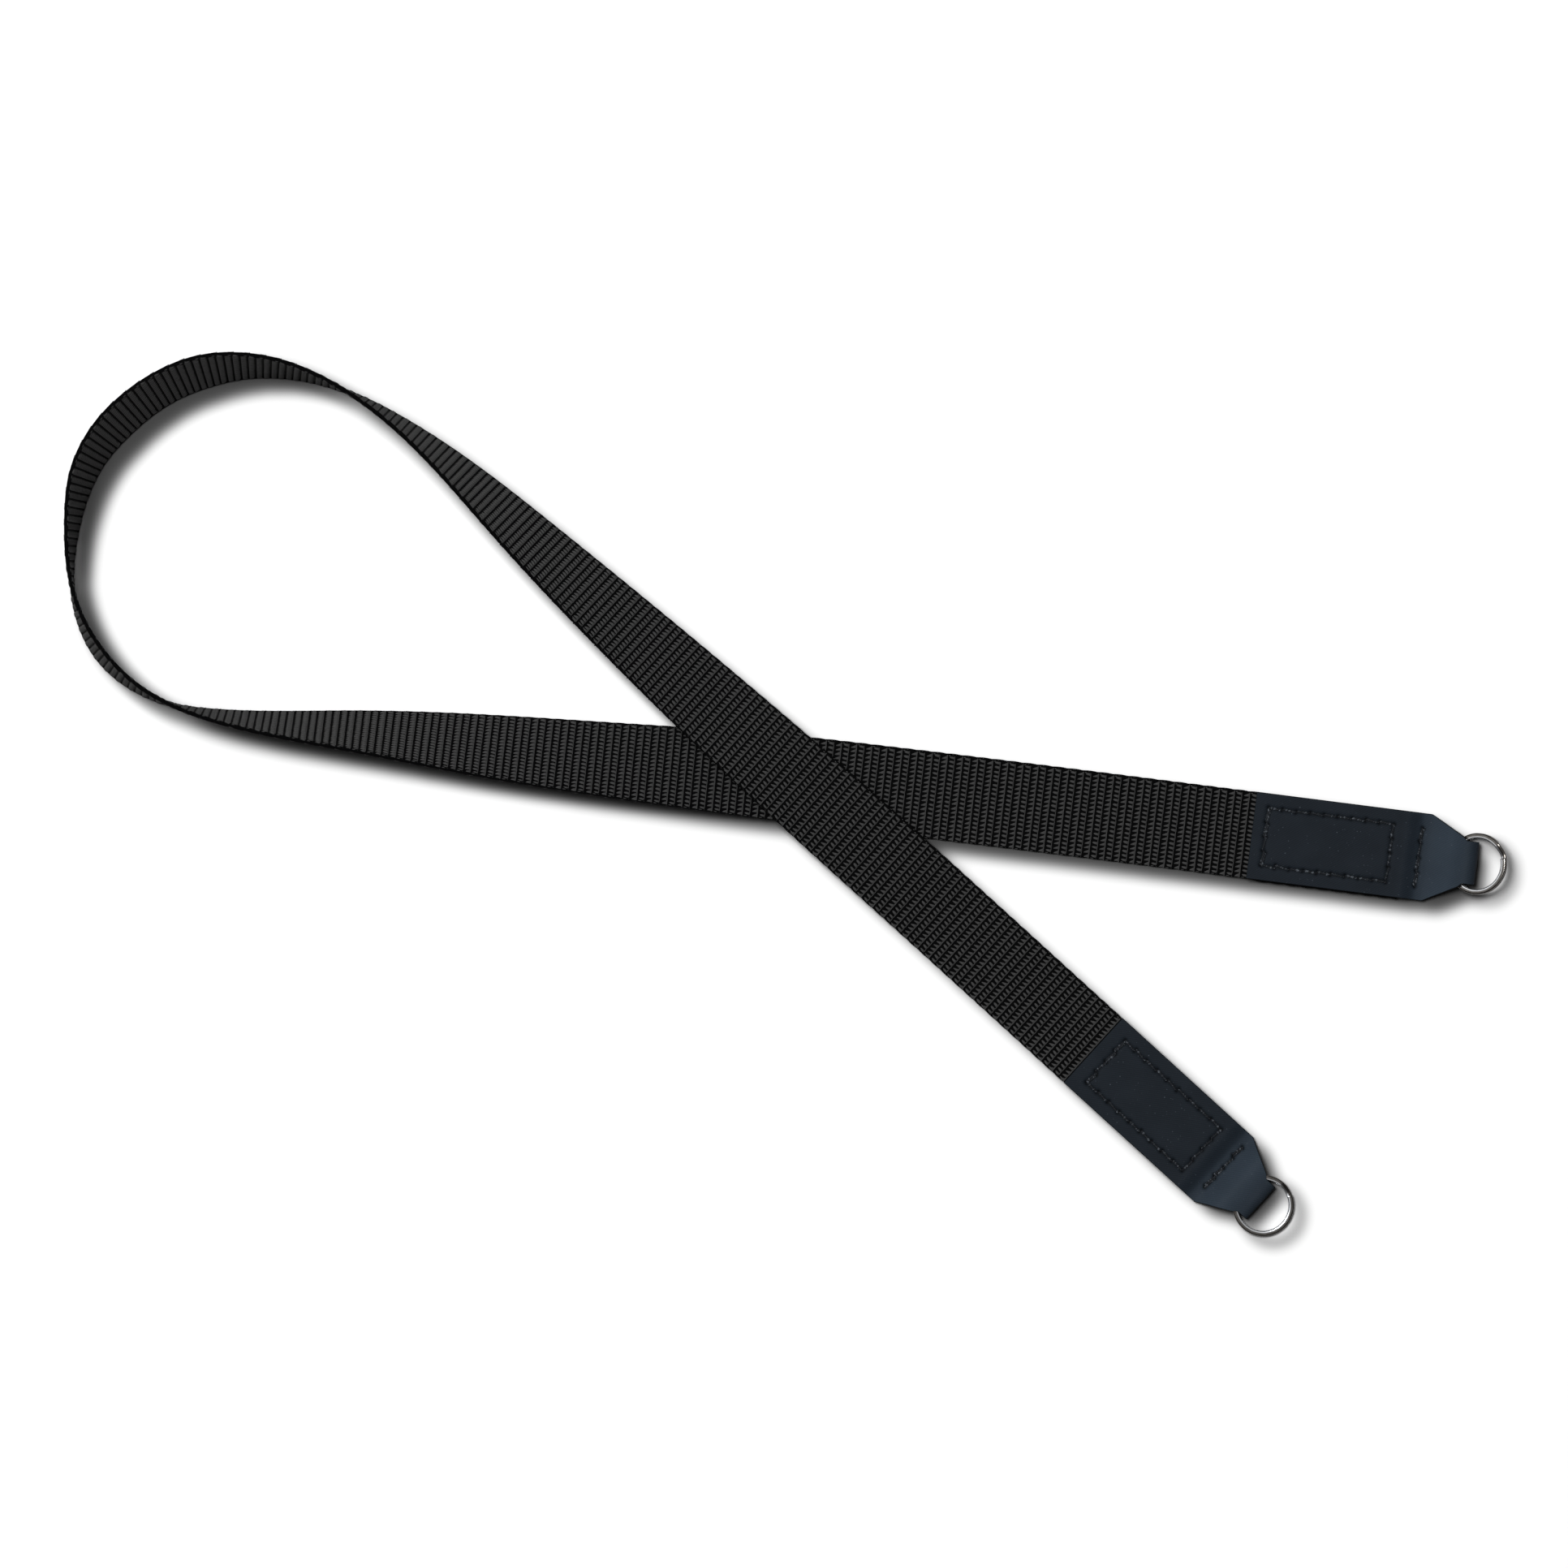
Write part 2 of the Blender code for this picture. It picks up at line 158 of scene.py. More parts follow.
DASH_PLACES = (
    # off the middle across, off the middle in height, half length, shift along, in mm
    (12.46, 0.46, 0.70, 1.1),
    (12.06, -0.64, 0.60, 1.1),
    (-12.40, 0.50, 0.36, 0.6),
    (-12.40, -0.50, 0.36, 0.6),
    (-12.02, 0.66, 0.32, 1.5),
    (-12.02, -0.66, 0.32, 1.5),
)
SELVEDGE_SCALLOP = 0.16 * MM
CORE_STEPS_PER_RIB = 4
CORE_PEEK = 0.45 * MM
CORE_PEEK_RAMP = 3.0 * MM

# The seams on each tab, in mm from its base and from its middle
STITCH_LENGTH = 4.1
SEAM_A = {"start": 3.8, "end": 40.4, "half": 8.4, "bar": 49.0, "bar_low": -9.0, "bar_high": 8.2}
SEAM_B = {"start": 4.8, "end": 42.7, "half": 8.2, "bar": 51.0, "bar_low": -7.6, "bar_high": 8.3}
PLY_RADIUS = 0.24 * MM
PLY_OFFSET = 0.17 * MM
PLY_TWIST = 1.5 * MM
PLY_SIDES = 6
PLY_STEPS = 16

# The rings: how far inside the wire's middle the painted dark reflection round the outside begins
RING_DARK_RIM_FROM = 0.24 * MM
RING_DARK_RIM_BLEND = 0.44 * MM

# The floor and the soft shade that the strap casts on it
FLOOR_REACH = 4.0
FLOOR_LEVEL = -0.10 * MM
FLOOR_STEP = 0.03 * MM
SHADE_OFFSET = 6.6 * MM
SHADE_SWEEP = (0.5, 0.6, 0.7, 0.8, 0.9, 1.0)
RING_SHADE_SHARE = 0.62
RING_SHADE_DEPTH = 0.80
SHADE_HEADING = -42.3
SHADE_CHOKE = 1.05 * MM
SHADE_BLUR = 1.75 * MM
SHADE_DEPTH = 0.74
SHADE_ROOM = 16.0 * MM
SHADE_CELL = 0.45 * MM
SHADE_FAINT = 0.004

RNG = np.random.default_rng(11)


def loft_faces(rows, columns, closed=True):
    """List the quads between rows of points; closed joins each row's ends."""
    row = np.arange(rows - 1)[:, None] * columns
    column = np.arange(columns if closed else columns - 1)[None, :]
    following = (column + 1) % columns
    return np.stack(
        (row + column, row + following, row + columns + following, row + columns + column),
        axis=-1,
    ).reshape(-1, 4)


def make_piece(name, points, faces, finish, lay=None, tone=None):
    """Make a smooth mesh from arrays: faces is a list of arrays of equal faces.

    lay holds two coordinates in millimetres for each point, which the finish
    reads as the map "lay", and tone a number from 0 to 1 for each point.
    """
    mesh = bpy.data.meshes.new(name)
    faces = [np.asarray(group, dtype=np.int32) for group in faces]
    corners = np.concatenate([group.ravel() for group in faces])
    sizes = np.concatenate([np.full(len(group), group.shape[1]) for group in faces])
    starts = np.concatenate(([0], np.cumsum(sizes)[:-1])).astype(np.int32)
    mesh.vertices.add(len(points))
    mesh.vertices.foreach_set("co", np.asarray(points, dtype=np.float32).ravel())
    mesh.loops.add(len(corners))
    mesh.loops.foreach_set("vertex_index", corners)
    mesh.polygons.add(len(sizes))
    mesh.polygons.foreach_set("loop_start", starts)
    mesh.update(calc_edges=True)
    mesh.shade_smooth()
    if lay is not None:
        layer = mesh.uv_layers.new(name="lay")
        layer.uv.foreach_set("vector", np.asarray(lay, dtype=np.float32)[corners].ravel())
    if tone is not None:
        attribute = mesh.attributes.new("tone", "FLOAT", "POINT")
        attribute.data.foreach_set("value", np.asarray(tone, dtype=np.float32))
    mesh.materials.append(finish)
    made = bpy.data.objects.new(name, mesh)
    bpy.context.scene.collection.objects.link(made)
    return made


def cubic_through(stations, values):
    """Return a function: the natural cubic curve through values at stations."""
    steps = np.diff(stations)
    slopes = np.diff(values) / steps
    count = len(stations)
    system = np.eye(count)
    right = np.zeros(count)
    for i in range(1, count - 1):
        system[i, i - 1:i + 2] = (steps[i - 1], 2 * (steps[i - 1] + steps[i]), steps[i])
        right[i] = 6 * (slopes[i] - slopes[i - 1])
    bends = np.linalg.solve(system, right)

    def curve(at):
        i = np.clip(np.searchsorted(stations, at) - 1, 0, count - 2)
        t = at - stations[i]
        first = slopes[i] - steps[i] * (2 * bends[i] + bends[i + 1]) / 6
        third = (bends[i + 1] - bends[i]) / (6 * steps[i])
        return values[i] + t * (first + t * (bends[i] / 2 + t * third))

    return curve


def steady_through(stations, values):
    """Return a function: a smooth curve through values that never overshoots."""
    steps = np.diff(stations)
    slopes = np.diff(values) / steps
    tangents = np.zeros(len(stations))
    for i in range(1, len(stations) - 1):
        before, after = slopes[i - 1], slopes[i]
        if before * after > 0:
            tangents[i] = 2 * before * after / (before + after)

    def curve(at):
        i = np.clip(np.searchsorted(stations, at) - 1, 0, len(stations) - 2)
        t = np.clip((at - stations[i]) / steps[i], 0.0, 1.0)
        start = (1 + 2 * t) * (1 - t) ** 2 * values[i]
        end = t * t * (3 - 2 * t) * values[i + 1]
        turn_in = t * (1 - t) ** 2 * steps[i] * tangents[i]
        turn_out = t * t * (t - 1) * steps[i] * tangents[i + 1]
        return start + end + turn_in + turn_out

    return curve


def smooth_step(value):
    """Ease from 0 to 1."""
    value = np.clip(value, 0.0, 1.0)
    return value * value * (3 - 2 * value)


def direction(degrees):
    """Return the unit vector of a heading on the floor."""
    angle = math.radians(degrees)
    return np.array((math.cos(angle), math.sin(angle)))


def leg_point(heading, turn, length, share):
    """Return the point at a share of a leg, which bends evenly by turn."""
    reach = length * share
    return reach * direction(heading + turn * share / 2)


def route_rows():
    """List the webbing's plan points and leans, from tab a's base to tab b's."""
    axis_heading = (LEG_A_HEADING + LEG_B_HEADING) / 2 + 180.0
    along = direction(axis_heading)
    across = direction(axis_heading + 90.0)
    rows = []
    for share, lean in reversed(LEG_A_ROWS):
        point = leg_point(LEG_A_HEADING, LEG_A_TURN, LEG_A_LENGTH, share)
        rows.append((*point, lean))
    for forward, sideways, lean in LOOP_ROWS:
        point = forward * LOOP_LENGTH * along + sideways * LOOP_WIDTH * across
        rows.append((*point, lean))
    for share, lean in LEG_B_ROWS:
        point = leg_point(LEG_B_HEADING, LEG_B_TURN, LEG_B_LENGTH, share)
        rows.append((*point, lean))
    return np.array(rows)


def webbing_in_tab():
    """Return how far the webbing reaches into each tab."""
    return WEBBING_SHARE * TAB_LENGTH


def straight_end(points, leans, inward):
    """Carry the centre line straight on into a tab."""
    end_heading = points[0] - points[1]
    end_heading /= np.linalg.norm(end_heading)
    return points[0] + inward * end_heading, leans[0]


def webbing_route():
    """Return evenly spaced centre points, unit tangents and leans."""
    rows = route_rows()
    chords = np.linalg.norm(np.diff(rows[:, :2], axis=0), axis=1)
    knots = np.concatenate(([0.0], np.cumsum(chords)))
    east = cubic_through(knots, rows[:, 0])
    north = cubic_through(knots, rows[:, 1])
    lean = steady_through(knots, rows[:, 2])
    fine = np.linspace(0.0, knots[-1], ROUTE_STEPS * len(rows))
    line = np.column_stack((east(fine), north(fine)))
    leans = lean(fine)
    first, first_lean = straight_end(line, leans, webbing_in_tab())
    last, last_lean = straight_end(line[::-1], leans[::-1], webbing_in_tab())
    line = np.vstack((first, line, last))
    leans = np.concatenate(([first_lean], leans, [last_lean]))
    travelled = np.linalg.norm(np.diff(line, axis=0), axis=1)
    travelled = np.concatenate(([0.0], np.cumsum(travelled)))
    even = np.linspace(0.0, travelled[-1], WEBBING_SECTIONS)
    points = np.column_stack([np.interp(even, travelled, line[:, k]) for k in (0, 1)])
    tangents = np.gradient(points, axis=0)
    tangents /= np.linalg.norm(tangents, axis=1)[:, None]
    return even, points, tangents, np.interp(even, travelled, leans)


def crossing_lift(even, points, tangents, leans, rest_height):
    """Return how far each section is lifted to lie on the leg under it."""
    flatness = np.abs(np.cos(np.radians(leans)))
    lies_flat = flatness > math.cos(math.radians(STEEP_LEAN))
    middle = even[-1] / 2
    lower = np.nonzero(lies_flat & (even < middle))[0]
    upper = np.nonzero(lies_flat & (even > middle))[0]
    left = np.column_stack((-tangents[:, 1], tangents[:, 0]))
    half = WEBBING_WIDTH / 2
    need = np.zeros(len(even))
    for j in upper:
        turned = math.radians(leans[j])
        for reach in np.linspace(-half, half, CROSSING_SAMPLES):
            spot = points[j] + reach * math.cos(turned) * left[j]
            i = lower[np.argmin(np.linalg.norm(points[lower] - spot, axis=1))]
            offset = float(np.dot(spot - points[i], left[i]))
            if abs(offset) > half * flatness[i] + WEBBING_THICK:
                continue
            slope = math.tan(math.radians(leans[i]))
            under = rest_height[i] + offset * slope + WEBBING_THICK / (2 * flatness[i])
            own = rest_height[j] + reach * math.sin(turned) - WEBBING_THICK / (2 * flatness[j])
            need[j] = max(need[j], under + CLEARANCE - own)
    lifted = even[need > 0]
    rising = smooth_step((even - lifted[0]) / CROSSING_RAMP + 1)
    falling = smooth_step((lifted[-1] - even) / CROSSING_RAMP + 1)
    return need.max() * rising * falling


def tab_lift(even):
    """Return how far each section is lifted to lie on the tabs' lower layers."""
    step = LEATHER_THICK + CLEARANCE
    ramp_end = webbing_in_tab() + TAB_RAMP
    from_first = (ramp_end - even) / TAB_RAMP
    from_last = (even - even[-1] + ramp_end) / TAB_RAMP
    return step * (smooth_step(from_first) + smooth_step(from_last))


def band_section(width, thick):
    """Eight points of a band's section: a long rectangle with soft edges."""
    half = width / 2
    side = thick / 2
    inset = EDGE_INSET_SHARE * thick
    edge = EDGE_FLAT_SHARE * thick
    quarter = [(half, edge), (half - inset, side)]
    right = [(half, -edge), *quarter]
    left = [(-a, b) for a, b in reversed(quarter)]
    return [*right, *left, (-half, -edge), (-half + inset, -side), (half - inset, -side)]


class Webbing:
    """The webbing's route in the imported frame, with its two ends."""

    def __init__(self):
        even, points, tangents, leans = webbing_route()
        turned = np.radians(leans)
        section = np.array(band_section(WEBBING_WIDTH, WEBBING_THICK))
        width_rise = np.sin(turned)[:, None] * section[None, :, 0]
        face_rise = np.cos(turned)[:, None] * section[None, :, 1]
        rest_height = -(width_rise + face_rise).min(axis=1)
        lift = crossing_lift(even, points, tangents, leans, rest_height) + tab_lift(even)
        centres = np.column_stack((points, rest_height + lift))
        left = np.column_stack((-tangents[:, 1], tangents[:, 0]))
        plan = points[:, None, :] + left[:, None, :] * (
            np.cos(turned)[:, None] * section[None, :, 0]
            - np.sin(turned)[:, None] * section[None, :, 1]
        )[:, :, None]
        low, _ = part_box("webbing")
        shift = np.array((low.x, low.y)) - plan.reshape(-1, 2).min(axis=0)
        centres[:, :2] += shift
        self.length = even[-1]
        self.curves = [cubic_through(even, centres[:, k]) for k in range(3)]
        self.lean = cubic_through(even, turned)
        inward = webbing_in_tab()
        self.base_a = points[0] + inward * tangents[0] + shift
        self.base_b = points[-1] - inward * tangents[-1] + shift
        self.heading_a = math.degrees(math.atan2(-tangents[0, 1], -tangents[0, 0]))
        self.heading_b = math.degrees(math.atan2(tangents[-1, 1], tangents[-1, 0]))

    def at(self, travelled, sideways, height):
        """Return points on the webbing: along it, across it and off its middle."""
        step = 0.5 * MM
        ahead = np.clip(travelled + step, 0.0, self.length)
        behind = np.clip(travelled - step, 0.0, self.length)
        centre = np.stack([curve(travelled) for curve in self.curves], axis=-1)
        going = np.stack([curve(ahead) - curve(behind) for curve in self.curves[:2]], axis=-1)
        going /= np.linalg.norm(going, axis=-1)[..., None]
        lean = self.lean(travelled)
        left = np.stack((-going[..., 1], going[..., 0], np.zeros_like(lean)), axis=-1)
        up = np.array((0.0, 0.0, 1.0))
        width_way = np.cos(lean)[..., None] * left + np.sin(lean)[..., None] * up
        face_way = np.cos(lean)[..., None] * up - np.sin(lean)[..., None] * left
        return centre + sideways[..., None] * width_way + height[..., None] * face_way


def rib_places(webbing):
    """Return where the ribs are along the webbing, outside the tabs."""
    hidden = webbing_in_tab() - WEAVE_HIDDEN
    count = int((webbing.length - 2 * hidden) / RIB_PITCH)
    return hidden + RIB_PITCH * (np.arange(count) + 0.5)


def tooth_rings(kind):
    """Return a tooth's outline and its upper outline, as (reach, offset) in metres."""
    _, slant, rows = TOOTH_SHAPES[kind]
    side = np.array([(reach, half) for reach, half in rows])
    outline = np.vstack((side, side[::-1] * (1, -1)))
    middle = np.array((side[:, 0].mean(), 0.0))
    root = np.array((side[0, 0], 0.0))
    upper = root + (outline - root) * (0.90, TOOTH_INSET)
    tip = middle[None, :]
    rings = np.vstack((outline, upper, tip))
    rings[:, 1] += slant * rings[:, 0]
    return rings * MM


def make_teeth(webbing, places, face, finish):
    """Raise a row of teeth on each rib of one face of the webbing."""
    across = WEAVE_SHIFT + TOOTH_PITCH * (np.arange(TEETH_ACROSS) - (TEETH_ACROSS - 1) / 2)
    points, lays, faces, count = [], [], [], 0
    for kind in (0, 1):
        rows = places[kind::2]
        shape = tooth_rings(kind)
        n = len(shape)
        sides = (n - 1) // 2
        grid = np.stack(np.meshgrid(rows, across, indexing="ij"), axis=-1).reshape(-1, 2)
        slip = RNG.normal(0.0, 0.030 * MM, (len(grid), 2))
        swell = 1 + RNG.normal(0.0, 0.05, len(grid))
        travelled = grid[:, :1] + slip[:, :1] + face * shape[None, :, 0]
        sideways = grid[:, 1:] + slip[:, 1:] + swell[:, None] * shape[None, :, 1]
        top = TOOTH_SHAPES[kind][0] * MM
        rise = (top - CORE_HALF) * (1 + RNG.normal(0.0, 0.04, len(grid))).clip(0.8, 1.02)
        rise = np.where(grid[:, 1] > EDGE_TEETH_FROM, EDGE_TEETH_SHARE * rise, rise)
        arch = np.array(TOOTH_ARCH)
        share = np.concatenate((np.full(sides, -0.12), arch, arch[::-1], [1.0]))
        height = CORE_HALF + rise[:, None] * share[None, :]
        points.append(webbing.at(travelled, sideways, face * height).reshape(-1, 3))
        lays.append(np.stack((travelled, sideways), axis=-1).reshape(-1, 2) / MM)
        ring = np.arange(sides)
        after = (ring + 1) % sides
        wall = np.column_stack((ring, after, after + sides, ring + sides))
        roof = np.column_stack((ring + sides, after + sides, np.full(sides, 2 * sides)))
        order = 1 if face > 0 else -1
        base = (count + n * np.arange(len(grid)))[:, None, None]
        faces.append((wall[None, :, ::order] + base).reshape(-1, 4))
        faces.append((roof[None, :, ::order] + base).reshape(-1, 3))
        count += n * len(grid)
    return np.vstack(points), faces, np.vstack(lays)


def make_bars(webbing, places, face):
    """Lay the bar that joins each rib's teeth at their roots."""
    half_reach = TOOTH_PITCH * TEETH_ACROSS / 2
    steps = 2 * TEETH_ACROSS + 1
    across = WEAVE_SHIFT + np.linspace(-half_reach, half_reach, steps)
    profile = np.array(((-0.5, -0.1), (-0.36, 0.62), (0.0, 0.90), (0.36, 0.62), (0.5, -0.1)))
    points, lays, faces, count = [], [], [], 0
    for kind in (0, 1):
        top, width, dip = BAR_SHAPES[kind]
        rows = places[kind::2]
        between = (np.arange(steps) % 2 == 0).astype(float)
        crown = 1 - dip * between
        shape = (len(rows), steps, len(profile))
        lateral = np.broadcast_to(across[None, :, None], shape)
        waver = 0.03 * MM * np.sin(7 * across / MM)[None, :, None]
        thin = (1 - 0.4 * dip * between)[None, :, None]
        offset = width * MM * thin * profile[None, None, :, 0] + waver - face * 0.06 * MM
        travelled = np.broadcast_to(rows[:, None, None] + offset, shape)
        share = np.where(profile[:, 1] > 0, profile[:, 1], 0)[None, None, :] * crown[None, :, None]
        share = share + np.minimum(profile[:, 1], 0)[None, None, :]
        height = np.broadcast_to(CORE_HALF + (top * MM - CORE_HALF) * share, shape)
        points.append(webbing.at(travelled, lateral, face * height).reshape(-1, 3))
        lays.append(np.stack((travelled, lateral), axis=-1).reshape(-1, 2) / MM)
        quads = loft_faces(steps, len(profile), closed=False)[:, ::int(-face)]
        base = (count + steps * len(profile) * np.arange(len(rows)))[:, None, None]
        faces.append((quads[None] + base).reshape(-1, 4))
        count += steps * len(profile) * len(rows)
    return np.vstack(points), faces, np.vstack(lays)


def make_dashes(webbing, places):
    """Dot both selvedges with the short floats where the weft turns back."""
    turns = 2 * math.pi * np.arange(8) / 8
    lift = np.concatenate((np.full(8, -0.06), np.full(8, 0.09), (0.13,))) * MM
    at = np.arange(8)
    after = (at + 1) % 8
    wall = np.column_stack((at, after, after + 8, at + 8))
    roof = np.column_stack((at + 8, after + 8, np.full(8, 16)))
    starts = places[::DASH_EVERY]
    points, lays, faces, count = [], [], [], 0
    for off, rise, half_length, shift in DASH_PLACES:
        side, level = math.copysign(1.0, off), math.copysign(1.0, rise)
        ring = np.column_stack((half_length * MM * np.cos(turns), DASH_HALF * np.sin(turns)))
        shape = np.vstack((ring, 0.6 * ring, ((0.0, 0.0),)))
        travelled = starts[:, None] + shift * MM + shape[None, :, 0]
        sideways = (off * MM + side * 0.7 * (lift + shape[:, 1]))[None, :] + 0 * travelled
        height = (rise * MM + level * 0.7 * (lift - shape[:, 1]))[None, :] + 0 * travelled
        points.append(webbing.at(travelled, sideways, height).reshape(-1, 3))
        lays.append(np.stack((travelled, sideways), axis=-1).reshape(-1, 2) / MM)
        base = (count + 17 * np.arange(len(starts)))[:, None, None]
        order = int(-side * level)
        faces.append((wall[None, :, ::order] + base).reshape(-1, 4))
        faces.append((roof[None, :, ::order] + base).reshape(-1, 3))
        count += 17 * len(starts)
    return np.vstack(points), faces, np.vstack(lays)


def make_core(webbing, finish):
    """Make the dark body of the webbing under its weave, with its two selvedges."""
    half = WEBBING_WIDTH / 2
    count = int(webbing.length / RIB_PITCH * CORE_STEPS_PER_RIB)
    travelled = np.linspace(0.0, webbing.length, count)
    quarter = ((0.00, 0.20), (0.12, 0.46), (0.36, 0.62), (0.70, 0.60), (0.95, 0.42), (4.0, 0.40))
    side = [(half - inset * MM, rise * MM) for inset, rise in quarter]
    top = side + [(-a, b) for a, b in reversed(side)]
    section = np.array(top + [(a, -b) for a, b in reversed(top)])
    scallop = SELVEDGE_SCALLOP * (1 - np.abs(np.cos(math.pi * travelled / (2 * RIB_PITCH))))
    near_edge = np.clip((np.abs(section[:, 0]) - (half - 1.0 * MM)) / MM, 0, 1)
    lateral = section[None, :, 0] - (
        np.sign(section[:, 0]) * near_edge
    )[None, :] * scallop[:, None]
    along = np.broadcast_to(travelled[:, None], lateral.shape)
    lateral = lateral + CORE_PEEK * smooth_step((webbing_in_tab() - along) / CORE_PEEK_RAMP)
    height = np.broadcast_to(section[None, :, 1], lateral.shape)
    points = webbing.at(along, lateral, height).reshape(-1, 3)
    lay = np.stack((along, lateral), axis=-1).reshape(-1, 2) / MM
    n = len(section)
    faces = [loft_faces(count, n), np.arange(n)[None, ::-1], (count - 1) * n + np.arange(n)[None]]
    return make_piece("webbing_core", points, faces, finish, lay)


def nose_width():
    """Return the width of the strip where it passes through the ring."""
    return RING_DIAMETER - 2 * WIRE_WIDTH - 2 * NOSE_PLAY


def wire_radius():
    """Return the radius of the ring's wire, along the middle of its width."""
    return (RING_DIAMETER - WIRE_WIDTH) / 2


def exit_reach():
    """Return how far from the ring's centre its wire leaves the strip's sides."""
    inner_radius = RING_DIAMETER / 2 - WIRE_WIDTH
    return math.sqrt(inner_radius ** 2 - (nose_width() / 2 + CLEARANCE) ** 2)


def resting_tilt():
    """Return the tilt of a ring that lies on the strip and on the floor."""
    drop = LEATHER_THICK + CLEARANCE
    return -math.degrees(math.asin(drop / (wire_radius() + exit_reach())))


def seat_ring(tilt):
    """Work out where a ring sits in its tab and how the tab drapes over it."""
    slant = math.radians(tilt)
    half_stack = WIRE_THICK + TURN_GAP / 2
    half_slice = half_stack / math.cos(slant) + CLEARANCE
    half_depth = half_stack * math.cos(slant) + WIRE_WIDTH / 2 * abs(math.sin(slant))
    outer_radius = RING_DIAMETER / 2
    seat = LEATHER_THICK + CLEARANCE
    reach = exit_reach()
    if tilt > 0:
        height = seat + half_depth + wire_radius() * math.sin(slant)
    else:
        height = half_depth - wire_radius() * math.sin(slant)
    roof_inside = height - outer_radius * math.sin(slant) + half_slice
    roof_at_bend = height - reach * math.sin(slant) + half_slice
    room_below = height - reach * math.sin(slant) - half_slice - LEATHER_THICK
    raised = NOSE_LIFT_SHARE * max(room_below, 0.0)
    bend_radius = (roof_at_bend - raised) / 2
    bend_along = TAB_LENGTH - LEATHER_THICK / 2 - bend_radius
    centre = bend_along + reach * math.cos(slant)
    inner_end = centre - outer_radius * math.cos(slant)
    return centre, height, inner_end, roof_inside, roof_at_bend, bend_along, raised


def tab_corners():
    """Return where the tab's outline turns: its shoulder, cheek and nose."""
    cheek = TAB_LENGTH - NOSE_LENGTH
    return SHOULDER_SHARE * TAB_LENGTH, cheek, cheek + CHEEK_STEP


def tab_half_width(along):
    """Return half the tab's width at a distance from its base."""
    nose = nose_width()
    stations = (0.0, *tab_corners(), TAB_LENGTH)
    widths = (WEBBING_WIDTH, WEBBING_WIDTH, nose + 2 * CHEEK_STEP, nose, nose)
    return np.interp(along, stations, widths) / 2


def eased_run(start, end, steps):
    """List points of a smooth step between two (along, height) places."""
    run = []
    for k in range(steps + 1):
        share = k / steps
        along = start[0] + share * (end[0] - start[0])
        run.append((along, start[1] + float(smooth_step(share)) * (end[1] - start[1])))
    return run


def tab_side_line(seat):
    """List the tab strip's middle line in side view, and how much of it is on top."""
    _, _, inner_end, roof_inside, roof_at_bend, bend_along, raised = seat
    half = LEATHER_THICK / 2
    over_webbing = LEATHER_THICK + WEBBING_THICK + 2 * CLEARANCE + half
    pinched = LEATHER_THICK + CLEARANCE + half
    bar_stitch = BAR_STITCH_SHARE * TAB_LENGTH
    pinch_start = (bar_stitch - BAR_FLAT / 2, pinched)
    pinch_end = (bar_stitch + BAR_FLAT / 2, pinched)
    webbing_end = (webbing_in_tab() + 2 * CLEARANCE, over_webbing)
    upper = [(share * webbing_end[0], over_webbing) for share in (0.0, 0.25, 0.5, 0.75)]
    upper += eased_run(webbing_end, pinch_start, DRAPE_STEPS)
    knots = np.array((pinch_end[0], inner_end, bend_along))
    drape = steady_through(knots, np.array((pinched, roof_inside + half, roof_at_bend + half)))
    corners = tab_corners()
    between = [along for along in corners if pinch_end[0] < along < bend_along]
    stops = [pinch_end[0], *between, bend_along]
    for start, end in zip(stops, stops[1:]):
        count = math.ceil((end - start) / DRAPE_SPACING)
        for along in np.linspace(start, end, count, endpoint=False):
            upper.append((along, float(drape(along))))
    upper.append((bend_along, float(drape(bend_along))))
    bend_low = half + raised
    bend_radius = (roof_at_bend + half - bend_low) / 2
    bend = []
    for k in range(1, BEND_STEPS):
        angle = math.pi * k / BEND_STEPS
        along = bend_along + bend_radius * math.sin(angle)
        bend.append((along, bend_low + bend_radius * (1 + math.cos(angle))))
    lower = [(0.0, half), (corners[0], half)]
    lower += eased_run((inner_end, half), (bend_along, bend_low), DRAPE_STEPS)
    return np.array(upper), np.array(bend), np.array(lower)


class Tab:
    """A tab's surface: its side line, its outline and the seams pressed into it."""

    def __init__(self, base, heading, tilt, seams):
        self.seat = seat_ring(tilt)
        self.place = (
            Matrix.Translation((*base, 0.0)) @ Matrix.Rotation(math.radians(heading), 4, "Z")
        )
        self.upper, bend, self.lower = tab_side_line(self.seat)
        line = np.vstack((self.upper, bend, self.lower[::-1]))
        self.line = line[np.concatenate(([True], np.linalg.norm(np.diff(line, axis=0), axis=1) > 1e-7))]
        self.seams = seams
        self.runs = seam_runs(seams)
        self.stitches = stitch_ends(self.runs)

    def placed(self, local):
        """Move points from the tab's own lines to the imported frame."""
        turn = np.array(self.place)
        return local @ turn[:3, :3].T + turn[:3, 3]

    def press(self, along, sideways):
        """Return how far the seams and their holes sink into the face, and the painted shade in the holes
        and along the seam grooves.
        """
        flat = np.stack((along, sideways), axis=-1) / MM
        sunk, line, holes = (np.zeros(along.shape) for _ in range(3))
        for start, end in self.runs:
            nearest = distance_to_run(flat, start, end)
            sunk = np.maximum(sunk, 0.22 * np.exp(-(nearest / 0.70) ** 2))
            # Painted shade along each seam's groove.
            line = np.maximum(line, 0.60 * np.exp(-(nearest / 0.62) ** 2))
        for start, end, _ in self.stitches:
            for spot in (start, end):
                away = np.linalg.norm(flat - spot, axis=-1)
                # Painted shade in each stitch hole, which also sinks the face.
                holes = np.maximum(holes, 1.15 * np.exp(-(away / 0.58) ** 2))
        box = np.maximum(
            np.abs(flat[..., 0] - (self.seams["start"] + self.seams["end"]) / 2)
            / ((self.seams["end"] - self.seams["start"]) / 2),
            np.abs(flat[..., 1]) / self.seams["half"],
        )
        swell = 0.10 * np.clip(1 - box, 0.0, 0.35) / 0.35
        return (sunk + 0.22 * holes - swell) * MM, np.minimum(np.maximum(holes, line), 1.0)


